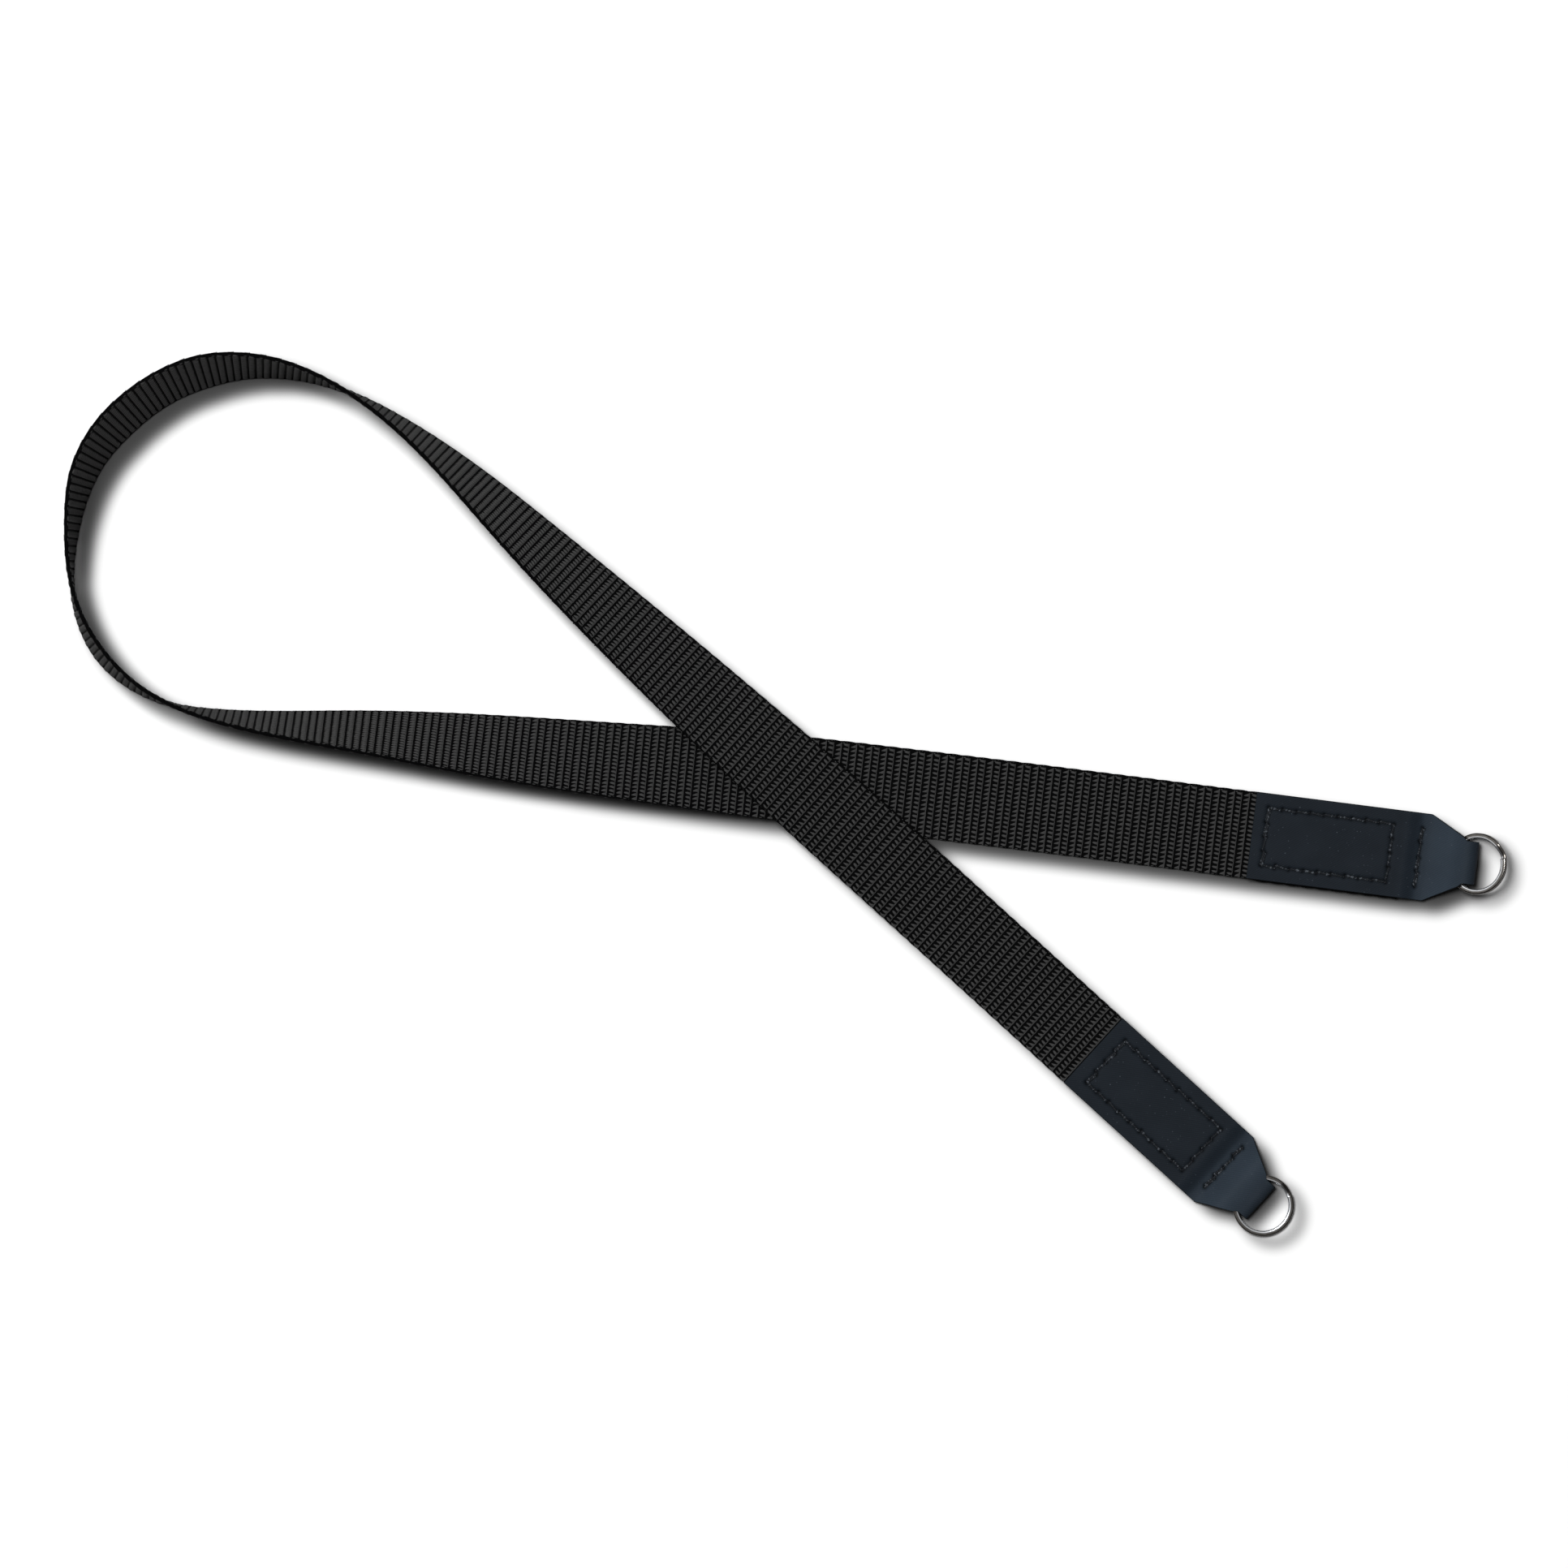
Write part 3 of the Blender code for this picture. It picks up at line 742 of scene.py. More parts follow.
def seam_runs(seams):
    """List the straight runs of a tab's seams: a box, doubled at its base, and a bar."""
    near, far, half = seams["start"], seams["end"], seams["half"]
    corners = [(near, -half), (far, -half), (far, half), (near, half)]
    box = list(zip(corners, corners[1:] + corners[:1]))
    bar = [((seams["bar"], seams["bar_low"]), (seams["bar"], seams["bar_high"]))]
    return [(np.array(a), np.array(b)) for a, b in box + bar]


def stitch_ends(runs):
    """List each stitch as its two ends and how many times it was sewn over."""
    found = []
    for k, (start, end) in enumerate(runs):
        length = float(np.linalg.norm(end - start))
        count = max(3, round(length / STITCH_LENGTH))
        way = (end - start) / length
        aside = np.array((-way[1], way[0]))
        doubled = k in (3, 4)
        for i in range(count):
            first = start + way * (length * i / count + 0.10) + aside * RNG.normal(0.24, 0.09)
            last = start + way * (length * (i + 1) / count - 0.10) - aside * RNG.normal(0.24, 0.09)
            found.append((first, last, 1))
            if doubled and i % 3 != 2:
                shift = aside * 0.42 + way * 0.5
                found.append((first + shift, last + shift * (1, 0.4), 2))
    return found


def distance_to_run(points, start, end):
    """Return each point's distance from a straight run."""
    way = end - start
    share = np.clip(((points - start) @ way) / (way @ way), 0.0, 1.0)
    return np.linalg.norm(points - start - share[..., None] * way, axis=-1)


def even_line(line, spacing):
    """Resample a side line with one spacing on top and a wider one underneath."""
    travelled = np.concatenate(([0.0], np.cumsum(np.linalg.norm(np.diff(line, axis=0), axis=1))))
    top = float(travelled[np.argmax(line[:, 0])]) + 2 * MM
    marks = np.concatenate((
        np.arange(0.0, top, spacing),
        np.linspace(top, travelled[-1], int((travelled[-1] - top) / (2.5 * spacing))),
    ))
    fine = np.column_stack([np.interp(marks, travelled, line[:, k]) for k in (0, 1)])
    soft = fine.copy()
    soft[1:-1] = 0.25 * fine[:-2] + 0.5 * fine[1:-1] + 0.25 * fine[2:]
    return soft


def make_tab(name, tab, finish):
    """Make one tab's leatherette with pressed seams and crisp cut edges."""
    line = even_line(tab.line, 0.34 * MM)
    tangent = np.gradient(line, axis=0)
    tangent /= np.linalg.norm(tangent, axis=1)[:, None]
    depth = LEATHER_THICK / 2
    corner = 0.26 * MM
    inner_corner = 0.12 * MM
    shares = np.linspace(-1.0, 1.0, 73)
    turn = np.radians((22.0, 45.0, 68.0))
    half = tab_half_width(line[:, 0])
    outer = (half - corner)[:, None] * shares[None, :]
    right_a = half[:, None] - corner + corner * np.sin(turn)[None, :]
    right_b = np.broadcast_to(depth - corner + corner * np.cos(turn)[None, :], right_a.shape)
    edge_b = np.array((depth - corner, 0.0, -depth + inner_corner))
    edge_a = np.broadcast_to(half[:, None], (len(half), 3))
    inner_shares = np.linspace(1.0, -1.0, 9)
    inner = (half - inner_corner)[:, None] * inner_shares[None, :]
    lateral = np.hstack((outer, right_a, edge_a, inner, -edge_a[:, ::-1], -right_a[:, ::-1]))
    rows = len(line)
    off = np.hstack((
        np.full(outer.shape, depth),
        right_b,
        np.broadcast_to(edge_b, (rows, 3)),
        np.full(inner.shape, -depth),
        np.broadcast_to(edge_b[::-1], (rows, 3)),
        right_b[:, ::-1],
    ))
    cut = np.hstack((
        np.zeros(outer.shape),
        np.broadcast_to((0.25, 0.7, 1.0), right_a.shape),
        np.ones((rows, 3)),
        np.full(inner.shape, 0.6),
        np.ones((rows, 3)),
        np.broadcast_to((1.0, 0.7, 0.25), right_a.shape),
    ))
    along = np.broadcast_to(line[:, :1], lateral.shape)
    pressed, holes = tab.press(along, lateral)
    wave = 0.035 * MM * np.sin(along / MM * 0.55 + 0.8) * np.sin(lateral / MM * 0.42 + 1.7)
    on_face = off > depth - 1e-9
    off = off - np.where(on_face, pressed + wave * 0.5 + 0.02 * MM, 0.0)
    on_top = np.arange(rows) < np.argmax(line[:, 0]) + 1
    off = np.where(on_top[:, None], off, np.minimum(off, depth))
    local = np.stack((
        along - tangent[:, 1:] * off,
        lateral,
        line[:, 1:] + tangent[:, :1] * off,
    ), axis=-1)
    points = tab.placed(local.reshape(-1, 3))
    lay = np.stack((along, lateral), axis=-1).reshape(-1, 2) / MM
    # Tone: painted shade in the stitch holes and seam grooves on the face, and the darker cut edges and
    # inner face.
    tone = np.maximum(np.where(on_face, 0.97 * holes, 0.0), cut).reshape(-1)
    n = lateral.shape[1]
    faces = [
        loft_faces(rows, n)[:, ::-1],
        np.arange(n)[None],
        (rows - 1) * n + np.arange(n)[None, ::-1],
    ]
    return make_piece(name, points, faces, finish, lay, tone)


def strand_points(centre, side, normal, phase, twist):
    """Return the rings of points of one ply that winds round a centre line."""
    angle = twist + phase
    middle = centre + PLY_OFFSET * (
        np.cos(angle)[:, None] * side + np.sin(angle)[:, None] * normal
    )
    way = np.gradient(middle, axis=0)
    way /= np.linalg.norm(way, axis=1)[:, None]
    across = np.cross(way, normal)
    across /= np.linalg.norm(across, axis=1)[:, None]
    over = np.cross(across, way)
    turn = 2 * math.pi * np.arange(PLY_SIDES) / PLY_SIDES
    ring = np.cos(turn)[None, :, None] * across[:, None, :]
    ring = ring + np.sin(turn)[None, :, None] * over[:, None, :]
    return middle[:, None, :] + PLY_RADIUS * ring


def make_thread(name, tab, finish):
    """Sew each tab: two-ply stitches that dive into their holes, on both faces."""
    upper = tab.upper
    lower = tab.lower
    points, lays, faces, count = [], [], [], 0
    share = np.linspace(0.0, 1.0, PLY_STEPS)
    arch = np.clip(np.sin(math.pi * share), 0.0, 1.0) ** 0.55
    for top in (True, False):
        line = upper if top else lower
        for first, last, times in tab.stitches:
            run = first + (last - first) * share[:, None]
            along, sideways = run[:, 0] * MM, run[:, 1] * MM
            height = np.interp(along, line[:, 0], line[:, 1])
            slope = np.gradient(height, along) if abs(along[-1] - along[0]) > MM else 0 * height
            pressed, _ = tab.press(along, sideways)
            settle = 0.06 * MM if top else -0.30 * MM
            rise = LEATHER_THICK / 2 - pressed + settle + (arch - 1) * 0.42 * MM
            rise = rise + (times - 1) * 0.10 * MM
            sign = 1.0 if top else -1.0
            centre = np.column_stack((along, sideways, height + sign * rise))
            way = np.column_stack((np.full(len(share), 1.0), 0 * share, slope))
            normal = np.cross(way, (0.0, 1.0, 0.0))
            normal *= -sign / np.linalg.norm(normal, axis=1)[:, None]
            going = np.gradient(centre, axis=0)
            side = np.cross(going, normal)
            side /= np.linalg.norm(side, axis=1)[:, None]
            length = float(np.linalg.norm(last - first)) * MM
            twist = 2 * math.pi * share * length / PLY_TWIST + RNG.uniform(0, 6.28)
            for phase in (0.0, math.pi):
                rings = strand_points(centre, side, normal, phase, twist)
                points.append(tab.placed(rings.reshape(-1, 3)))
                reach = np.broadcast_to(along[:, None] / MM, rings.shape[:2])
                cross = np.broadcast_to(sideways[:, None] / MM, rings.shape[:2])
                lays.append(np.stack((reach, cross), axis=-1).reshape(-1, 2))
                faces.append(loft_faces(PLY_STEPS, PLY_SIDES) + count)
                ends = np.arange(PLY_SIDES)[None]
                faces.append(ends + count)
                faces.append(ends[:, ::-1] + count + (PLY_STEPS - 1) * PLY_SIDES)
                count += PLY_STEPS * PLY_SIDES
    quads = np.vstack([group for group in faces if group.shape[1] == 4])
    caps = np.vstack([group for group in faces if group.shape[1] == PLY_SIDES])
    return make_piece(name, np.vstack(points), [quads, caps], finish, np.vstack(lays))


def wire_outline():
    """List the points round the ring's flat wire, with rounded corners."""
    half = WIRE_WIDTH / 2
    side = WIRE_THICK / 2
    corner = 0.36 * MM
    outline = []
    for east, north, start in ((1, 1, 0), (-1, 1, 90), (-1, -1, 180), (1, -1, 270)):
        for turn in (0.0, 30.0, 60.0, 90.0):
            angle = math.radians(start + turn)
            outline.append((
                east * (half - corner) + corner * math.cos(angle),
                north * (side - corner) + corner * math.sin(angle),
            ))
        if start % 180 == 0:
            level = outline[-1][1]
            outline += [(reach * east, level) for reach in (0.2 * MM, 0.0, -0.2 * MM)]
    return np.array(outline)


def make_ring(name, base, heading, seat, tilt, end_angle, finish):
    """Wind two turns of wire: flat, then stepping up over a short crossover."""
    radius = wire_radius()
    step = (WIRE_THICK + TURN_GAP) / 2
    sweep = 720.0 - CROSSOVER_ANGLE - 2 * END_ANGLE_GAP
    turned = np.linspace(0.0, sweep, 361)
    centre, height = seat[:2]
    place = np.array(
        Matrix.Translation((*base, 0.0))
        @ Matrix.Rotation(math.radians(heading), 4, "Z")
        @ Matrix.Translation((centre, 0.0, height))
        @ Matrix.Rotation(math.radians(-tilt), 4, "Y")
        @ Matrix.Rotation(math.radians(end_angle), 4, "Z")
    )
    past = (turned - sweep / 2) / CROSSOVER_ANGLE + 0.5
    level = step * (2 * smooth_step(past) - 1)
    angle = np.radians(turned - sweep)
    outline = wire_outline()
    reach = radius + outline[None, :, 0]
    local = np.stack((
        reach * np.cos(angle)[:, None],
        reach * np.sin(angle)[:, None],
        level[:, None] + outline[None, :, 1],
    ), axis=-1).reshape(-1, 3)
    points = local @ place[:3, :3].T + place[:3, 3]
    n = len(outline)
    rows = len(turned)
    faces = [
        loft_faces(rows, n)[:, ::-1],
        np.arange(n)[None],
        (rows - 1) * n + np.arange(n)[None, ::-1],
    ]
    along = np.broadcast_to((radius * angle / MM)[:, None], (rows, n))
    around = np.broadcast_to(np.arange(n)[None, :] * 0.3, (rows, n))
    lay = np.stack((along, around), axis=-1).reshape(-1, 2)
    # The tone marks the outside of the wire, where a dark reflection is painted.
    tone = np.tile(smooth_step(0.5 + (outline[:, 0] + RING_DARK_RIM_FROM) / RING_DARK_RIM_BLEND), rows)
    return make_piece(name, points, faces, finish, lay, tone)


class Finish:
    """A Principled material that is put together node by node."""

    def __init__(self, name, colour, roughness, metallic=0.0, specular=0.5):
        self.material = bpy.data.materials.new(name)
        self.material.use_nodes = True
        self.nodes = self.material.node_tree.nodes
        self.links = self.material.node_tree.links
        self.shader = self.nodes["Principled BSDF"]
        self.shader.inputs["Base Color"].default_value = (*colour, 1.0)
        self.shader.inputs["Roughness"].default_value = roughness
        self.shader.inputs["Metallic"].default_value = metallic
        self.shader.inputs["Specular IOR Level"].default_value = specular

    def node(self, kind, settings=None, **inputs):
        """Add a node; an input is a value or another node's output."""
        made = self.nodes.new(kind)
        for key, value in (settings or {}).items():
            setattr(made, key, value)
        for key, value in inputs.items():
            self.give(made.inputs[int(key[1:]) if key[1:].isdigit() else key.replace("_", " ")], value)
        return made

    def give(self, socket, value):
        """Set a socket, or link it to another node's output."""
        if isinstance(value, bpy.types.NodeSocket):
            self.links.new(value, socket)
        else:
            socket.default_value = value

    def math(self, operation, first, second=0.0, clamp=False):
        """Add a Math node and return its output."""
        made = self.node("ShaderNodeMath", {"operation": operation, "use_clamp": clamp})
        self.give(made.inputs[0], first)
        self.give(made.inputs[1], second)
        return made.outputs[0]

    def mix(self, share, first, second):
        """Mix two colours and return the result."""
        made = self.node("ShaderNodeMix", {"data_type": "RGBA"})
        self.give(made.inputs[0], share)
        self.give(made.inputs[6], first)
        self.give(made.inputs[7], second)
        return made.outputs[2]

    def lay(self, turn=0.0, stretch=(1.0, 1.0, 1.0)):
        """Return the piece's own lay coordinates, in millimetres, turned and stretched."""
        uv = self.node("ShaderNodeUVMap", {"uv_map": "lay"})
        moved = self.node("ShaderNodeMapping")
        self.links.new(uv.outputs["UV"], moved.inputs["Vector"])
        moved.inputs["Rotation"].default_value = (0.0, 0.0, math.radians(turn))
        moved.inputs["Scale"].default_value = stretch
        return moved.outputs["Vector"]

    def noise(self, vector, scale, detail=2.0, roughness=0.5):
        """Add a noise texture and return its value."""
        made = self.node("ShaderNodeTexNoise", None, Scale=scale, Detail=detail, Roughness=roughness)
        self.links.new(vector, made.inputs["Vector"])
        return made.outputs["Fac"]

    def waves(self, vector, period, distortion=0.0):
        """Add bands of a period in millimetres and return their value."""
        made = self.node("ShaderNodeTexWave", {"wave_type": "BANDS", "bands_direction": "X"})
        made.inputs["Scale"].default_value = 2 * math.pi / (20 * period)
        made.inputs["Distortion"].default_value = distortion
        made.inputs["Detail"].default_value = 1.0
        made.inputs["Detail Scale"].default_value = 1.5
        self.links.new(vector, made.inputs["Vector"])
        return made.outputs["Fac"]

    def bump(self, height, distance, strength=1.0, under=None):
        """Add a bump from a height and link it to the shader."""
        made = self.node("ShaderNodeBump", None, Strength=strength, Distance=distance)
        self.links.new(height, made.inputs["Height"])
        if under is not None:
            self.links.new(under, made.inputs["Normal"])
        self.links.new(made.outputs["Normal"], self.shader.inputs["Normal"])
        return made.outputs["Normal"]


def yarn_finish():
    """Return the finish of the raised yarn: dull black with fine filaments."""
    finish = Finish("woven_yarn", (0.0285, 0.0285, 0.0285), 0.70, specular=0.06)
    filaments = finish.waves(finish.lay(turn=84.0), 0.11, distortion=1.2)
    fuzz = finish.noise(finish.lay(stretch=(1.0, 3.0, 1.0)), 2.2, detail=3.0)
    height = finish.math("ADD", finish.math("MULTIPLY", filaments, 0.6), fuzz)
    finish.bump(height, 0.03 * MM, strength=0.5)
    return finish.material


def core_finish():
    """Return the finish of the webbing's dark body: black yarn, painted darker still for the shade in the
    gaps between the teeth.
    """
    # Partly painted shade: the body is near black for the shade between the teeth as well as for its
    # black yarn.
    finish = Finish("woven_core", (0.0010, 0.0010, 0.0011), 0.9, specular=0.02)
    strands = finish.waves(finish.lay(turn=90.0), 0.5, distortion=0.6)
    finish.bump(strands, 0.05 * MM, strength=0.5)
    return finish.material


def leather_finish():
    """Return the finish of the leatherette: dark navy with a fine twill and specks, a painted sheen past
    the bar stitch and painted shade at the seams.
    """
    finish = Finish("coated_leatherette", (0.006, 0.008, 0.011), 0.56, specular=0.02)
    lay = finish.lay()
    twill = finish.waves(finish.lay(turn=55.0), 0.59, distortion=0.9)
    grain = finish.noise(lay, 2.6, detail=3.0)
    broad = finish.noise(finish.lay(stretch=(1.0, 1.4, 1.0)), 0.09, detail=2.0)
    specks = finish.noise(lay, 1.9, detail=0.0)
    speck = finish.math("MULTIPLY", finish.math("SUBTRACT", specks, 0.785), 12.0, clamp=True)
    weave = finish.math("ADD", finish.math("MULTIPLY", twill, 0.30), finish.math("MULTIPLY", grain, 0.45))
    share = finish.math("ADD", finish.math("MULTIPLY", broad, 0.55), weave)
    body = finish.mix(share, (0.0030, 0.0042, 0.0058, 1.0), (0.0084, 0.0110, 0.0146, 1.0))
    # Painted sheen: from the bar stitch on, the tab is painted paler, and less pale again at the nose,
    # for the light on its taper.
    place = finish.node("ShaderNodeSeparateXYZ")
    finish.links.new(lay, place.inputs["Vector"])
    sheen = finish.node("ShaderNodeMapRange", {"interpolation_type": "SMOOTHSTEP"})
    finish.links.new(place.outputs["X"], sheen.inputs["Value"])
    sheen.inputs["From Min"].default_value = 42.0
    sheen.inputs["From Max"].default_value = 56.0
    painted_sheen_colour = finish.mix(share, (0.0100, 0.0140, 0.0190, 1.0), (0.0200, 0.0275, 0.0370, 1.0))
    fall = finish.node("ShaderNodeMapRange", {"interpolation_type": "SMOOTHSTEP"})
    finish.links.new(place.outputs["X"], fall.inputs["Value"])
    fall.inputs["From Min"].default_value = 58.0
    fall.inputs["From Max"].default_value = 66.0
    fall.inputs["To Min"].default_value = 1.0
    fall.inputs["To Max"].default_value = 0.35
    painted_sheen_share = finish.math("MULTIPLY", sheen.outputs["Result"], fall.outputs["Result"])
    toned = finish.mix(painted_sheen_share, body, painted_sheen_colour)
    specked = finish.mix(speck, toned, (0.034, 0.041, 0.050, 1.0))
    # The tone darkens the colour to near black: painted shade in the stitch holes and seam grooves, and
    # the darker cut edges.
    tone = finish.node("ShaderNodeAttribute", {"attribute_name": "tone"})
    seam_shade_and_cut_edges = finish.mix(tone.outputs["Fac"], specked, (0.0010, 0.0011, 0.0014, 1.0))
    finish.links.new(seam_shade_and_cut_edges, finish.shader.inputs["Base Color"])
    rough = finish.math("ADD", finish.math("MULTIPLY", grain, 0.16), 0.50)
    finish.links.new(rough, finish.shader.inputs["Roughness"])
    height = finish.math("ADD", finish.math("MULTIPLY", twill, 0.8), finish.math("MULTIPLY", grain, 0.5))
    finish.bump(height, 0.022 * MM, strength=0.5)
    return finish.material


def thread_finish():
    """Return the finish of the sewing thread: dark blue-grey with light specks."""
    finish = Finish("sewing_thread", (0.014, 0.017, 0.021), 0.60, specular=0.10)
    fleck = finish.noise(finish.lay(), 1.6, detail=2.0)
    share = finish.math("MULTIPLY", finish.math("SUBTRACT", fleck, 0.53), 7.0, clamp=True)
    colour = finish.mix(share, (0.0060, 0.0072, 0.0092, 1.0), (0.052, 0.059, 0.068, 1.0))
    finish.links.new(colour, finish.shader.inputs["Base Color"])
    fibres = finish.noise(finish.lay(stretch=(6.0, 6.0, 1.0)), 3.0, detail=2.0)
    finish.bump(fibres, 0.03 * MM, strength=0.5)
    return finish.material


def nickel_finish():
    """Return the finish of the rings: nickel, bright inside, with a painted dark reflection round the
    outside.
    """
    finish = Finish("polished_nickel", (0.62, 0.63, 0.65), 0.16, metallic=1.0)
    tone = finish.node("ShaderNodeAttribute", {"attribute_name": "tone"})
    marks = finish.noise(finish.lay(stretch=(0.3, 6.0, 1.0)), 2.0, detail=3.0)
    # Painted reflection: the outside of the wire is painted near black, broken up by the marks, for the
    # dark reflection round the rim.
    painted_dark_rim = finish.math("MULTIPLY", tone.outputs["Fac"], finish.math("ADD", marks, 0.5), clamp=True)
    colour = finish.mix(painted_dark_rim, (0.80, 0.82, 0.85, 1.0), (0.085, 0.078, 0.070, 1.0))
    finish.links.new(colour, finish.shader.inputs["Base Color"])
    rough = finish.math("ADD", finish.math("MULTIPLY", marks, 0.14), 0.12)
    finish.links.new(rough, finish.shader.inputs["Roughness"])
    finish.bump(marks, 0.008 * MM, strength=0.4)
    return finish.material


def floor_finish():
    """Return the floor's finish: white, with the soft shade beside the strap."""
    finish = Finish("white_floor", (0.62, 0.62, 0.62), 0.85, specular=0.03)
    tone = finish.node("ShaderNodeAttribute", {"attribute_name": "tone"})
    shade = finish.mix(tone.outputs["Fac"], (0.62, 0.62, 0.62, 1.0), (0.0, 0.0, 0.0, 1.0))
    finish.links.new(shade, finish.shader.inputs["Base Color"])
    return finish.material


def plan_cover(webbing, tabs, rings):
    """List close points over what the strap and the rings cover, seen from above."""
    spread = 0.4 * MM
    travelled = np.arange(0.0, webbing.length, spread)
    half = WEBBING_WIDTH / 2 - SHADE_CHOKE
    sideways = np.arange(-half, half + spread, spread)
    along, across = np.meshgrid(travelled, sideways, indexing="ij")
    cover = [webbing.at(along, across, 0 * along).reshape(-1, 3)[:, :2]]
    for tab in tabs:
        along = np.arange(0.0, TAB_LENGTH - 2.5 * SHADE_CHOKE, spread)
        shares = np.linspace(-1.0, 1.0, int(WEBBING_WIDTH / spread))
        across = (tab_half_width(along) - SHADE_CHOKE)[:, None] * shares[None, :]
        along = np.broadcast_to(along[:, None], across.shape)
        local = np.stack((along, across, 0 * across), axis=-1).reshape(-1, 3)
        cover.append(tab.placed(local)[:, :2])
    thin = [np.array([tuple(v.co)[:2] for v in ring.data.vertices]) for ring in rings]
    return np.vstack(cover), np.vstack(thin)


def soften(grid, sigma):
    """Blur a grid by a bell curve of sigma cells."""
    reach = int(math.ceil(3 * sigma))
    bell = np.exp(-0.5 * (np.arange(-reach, reach + 1) / sigma) ** 2)
    bell /= bell.sum()
    for axis in (0, 1):
        grid = np.apply_along_axis(lambda row: np.convolve(row, bell, mode="same"), axis, grid)
    return grid


def make_floor(cover, thin):
    """Lay a wide floor just under the strap, with a soft shade beside what it carries."""
    low = cover.min(axis=0) - SHADE_ROOM
    high = np.maximum(cover.max(axis=0), thin.max(axis=0)) + SHADE_ROOM
    shade = np.zeros(np.ceil((high - low) / (2 * SHADE_CELL)).astype(int) * 2)
    casts = [(thin, RING_SHADE_SHARE, RING_SHADE_DEPTH)]
    casts += [(cover, share, 1.0) for share in SHADE_SWEEP]
    for spread, share, dark in casts:
        moved = spread + share * SHADE_OFFSET * direction(SHADE_HEADING)
        spots = ((moved - low) / SHADE_CELL).astype(int)
        shade[spots[:, 0], spots[:, 1]] = dark
    shade = soften(shade, SHADE_BLUR / SHADE_CELL)[::2, ::2]
    east = low[0] + SHADE_CELL * (2 * np.arange(shade.shape[0]) + 0.5)
    north = low[1] + SHADE_CELL * (2 * np.arange(shade.shape[1]) + 0.5)
    flat = np.stack(np.meshgrid(east, north, indexing="ij"), axis=-1)
    points = np.dstack((flat, np.full(shade.shape, FLOOR_LEVEL))).reshape(-1, 3)
    faces = loft_faces(*shade.shape, closed=False)[:, ::-1]
    faces = faces[(shade.reshape(-1)[faces] > SHADE_FAINT).any(axis=1)]
    used, faces = np.unique(faces, return_inverse=True)
    tone = 1 - (1 - SHADE_DEPTH * shade.reshape(-1)[used]) ** 2.2
    finish = floor_finish()
    make_piece("floor_shade", points[used], [faces.reshape(-1, 4)], finish, tone=tone)
    reach, level = FLOOR_REACH, FLOOR_LEVEL - FLOOR_STEP
    corners = ((-reach, -reach), (reach, -reach), (reach, reach), (-reach, reach))
    points = [(*corner, level) for corner in corners]
    make_piece("floor", points, [np.arange(4)[None]], finish, tone=np.zeros(4))


def add_light(name, place, size, power, aim=(0.0, 0.0, 0.0)):
    """Hang a square soft light that points at the strap."""
    data = bpy.data.lights.new(name, "AREA")
    data.shape = "SQUARE"
    data.size = size
    data.energy = power
    lamp = bpy.data.objects.new(name, data)
    lamp.location = place
    way = Vector(aim) - Vector(place)
    lamp.rotation_euler = way.to_track_quat("-Z", "Y").to_euler()
    lamp.visible_camera = False
    bpy.context.scene.collection.objects.link(lamp)
    return lamp


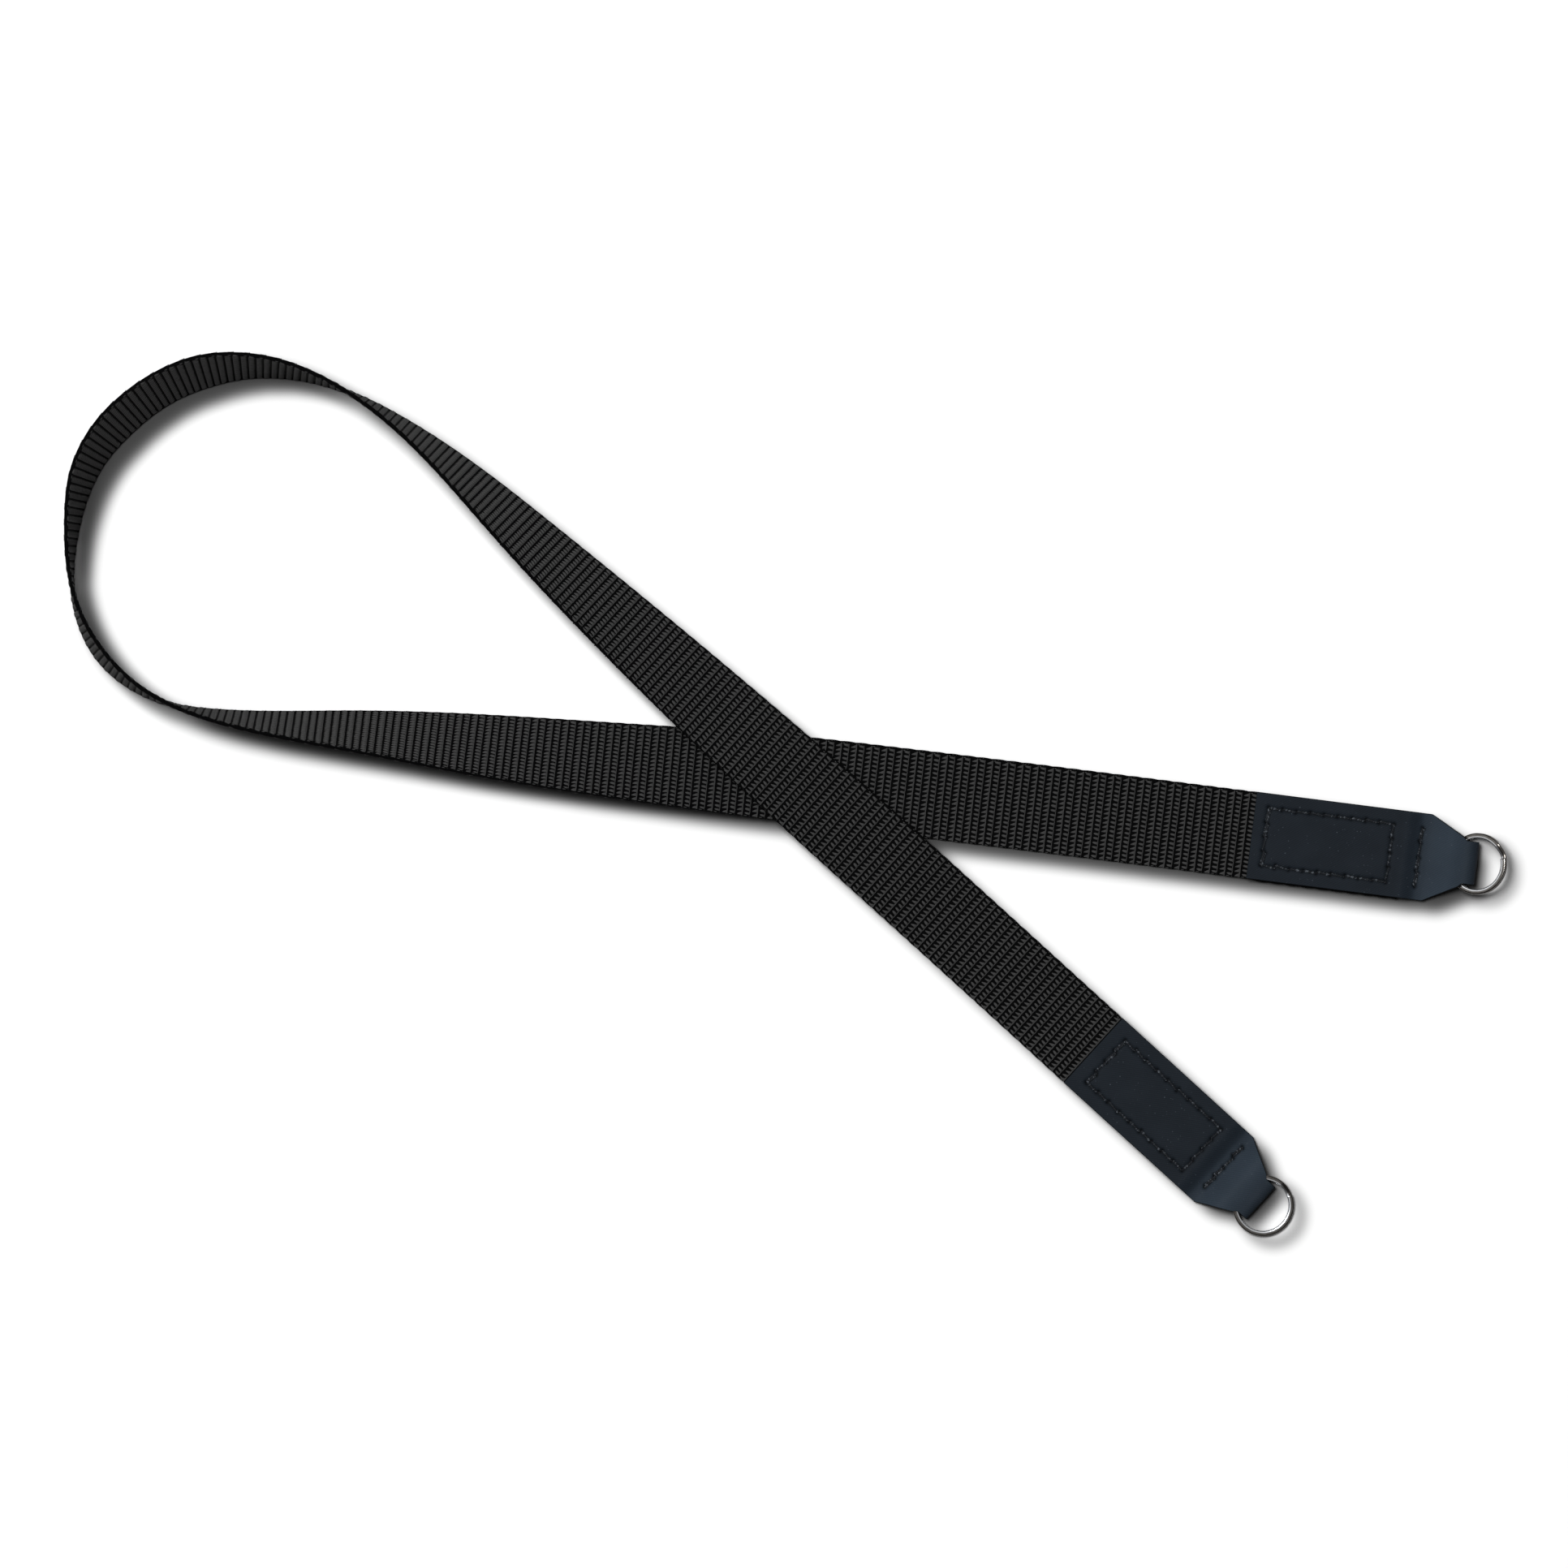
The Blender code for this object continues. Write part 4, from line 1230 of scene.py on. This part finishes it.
def set_stage():
    """Set the lights, the surroundings and the camera."""
    add_light("key", (-1.05, 1.02, 5.5), 1.6, 515.0)
    add_light("ring_sheen", (-0.55, 0.13, 0.72), 0.34, 0.42, aim=(0.20, -0.02, 0.0))
    world = bpy.data.worlds.new("studio")
    bpy.context.scene.world = world
    world.use_nodes = True
    nodes, links = world.node_tree.nodes, world.node_tree.links
    place = nodes.new("ShaderNodeTexCoord")
    split = nodes.new("ShaderNodeSeparateXYZ")
    ramp = nodes.new("ShaderNodeValToRGB")
    links.new(place.outputs["Generated"], split.inputs["Vector"])
    links.new(split.outputs["Z"], ramp.inputs["Fac"])
    links.new(ramp.outputs["Color"], nodes["Background"].inputs["Color"])
    nodes["Background"].inputs["Strength"].default_value = 1.0
    steps = ramp.color_ramp.elements
    steps[0].position, steps[0].color = 0.0, (0.05, 0.05, 0.05, 1.0)
    steps[1].position, steps[1].color = 0.97, (0.70, 0.70, 0.70, 1.0)
    for height, grey in ((0.55, 0.08), (0.90, 0.15)):
        steps.new(height).color = (grey, grey, grey, 1.0)
    data = bpy.data.cameras.new("camera")
    data.type = "PERSP"
    distance = 8.0
    frame_width = 0.4557
    data.sensor_width = 36.0
    data.lens = data.sensor_width * distance / frame_width
    data.clip_end = 40.0
    camera = bpy.data.objects.new("camera", data)
    camera.location = (-0.0006, 0.0031, distance)
    bpy.context.scene.collection.objects.link(camera)
    bpy.context.scene.camera = camera
    bpy.context.scene.view_settings.view_transform = "Standard"


def put(made, slot, *nodes):
    """Let a piece ride on the part and stand for nodes, which it hides; the slot is not used."""
    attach(made, "root")
    if nodes:
        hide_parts(*nodes)
    return made


def main():
    """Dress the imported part."""
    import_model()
    set_stage()
    webbing = Webbing()
    places = rib_places(webbing)
    yarn = yarn_finish()
    core = put(make_core(webbing, core_finish()), "webbing", "webbing")
    for face, side in ((1, "first"), (-1, "second")):
        points, faces, lay = make_teeth(webbing, places, face, yarn)
        put(make_piece(f"weave_teeth_{side}", points, faces, yarn, lay), "webbing")
        points, faces, lay = make_bars(webbing, places, face)
        put(make_piece(f"weave_bars_{side}", points, faces, yarn, lay), "webbing")
    points, faces, lay = make_dashes(webbing, places)
    put(make_piece("selvedge_dashes", points, faces, yarn, lay), "webbing")
    leather = leather_finish()
    thread = thread_finish()
    nickel = nickel_finish()
    rests, tabs, rings = [], [], []
    ends = (
        ("a", webbing.base_a, webbing.heading_a, RING_A_TILT, SEAM_A, RING_A_END),
        ("b", webbing.base_b, webbing.heading_b, resting_tilt(), SEAM_B, RING_B_END),
    )
    for letter, base, heading, tilt, seams, end_angle in ends:
        tab = Tab(base, heading, tilt, seams)
        leaf = put(make_tab(f"tab_{letter}_leatherette", tab, leather), "leatherette", f"tab_{letter}")
        sewn = put(make_thread(f"tab_{letter}_stitches", tab, thread), "leatherette")
        made = make_ring(f"ring_{letter}_wire", base, heading, tab.seat, tilt, end_angle, nickel)
        rings.append(put(made, "nickel", f"ring_{letter}"))
        tabs.append(tab)
        travelled = np.linalg.norm(np.diff(tab.line, axis=0), axis=1)
        middles = (tab.line[1:, 0] + tab.line[:-1, 0]) / 2
        area = float((travelled * 2 * tab_half_width(middles)).sum())
        rests.append(leaf.name)
    make_floor(*plan_cover(webbing, tabs, rings))


main()
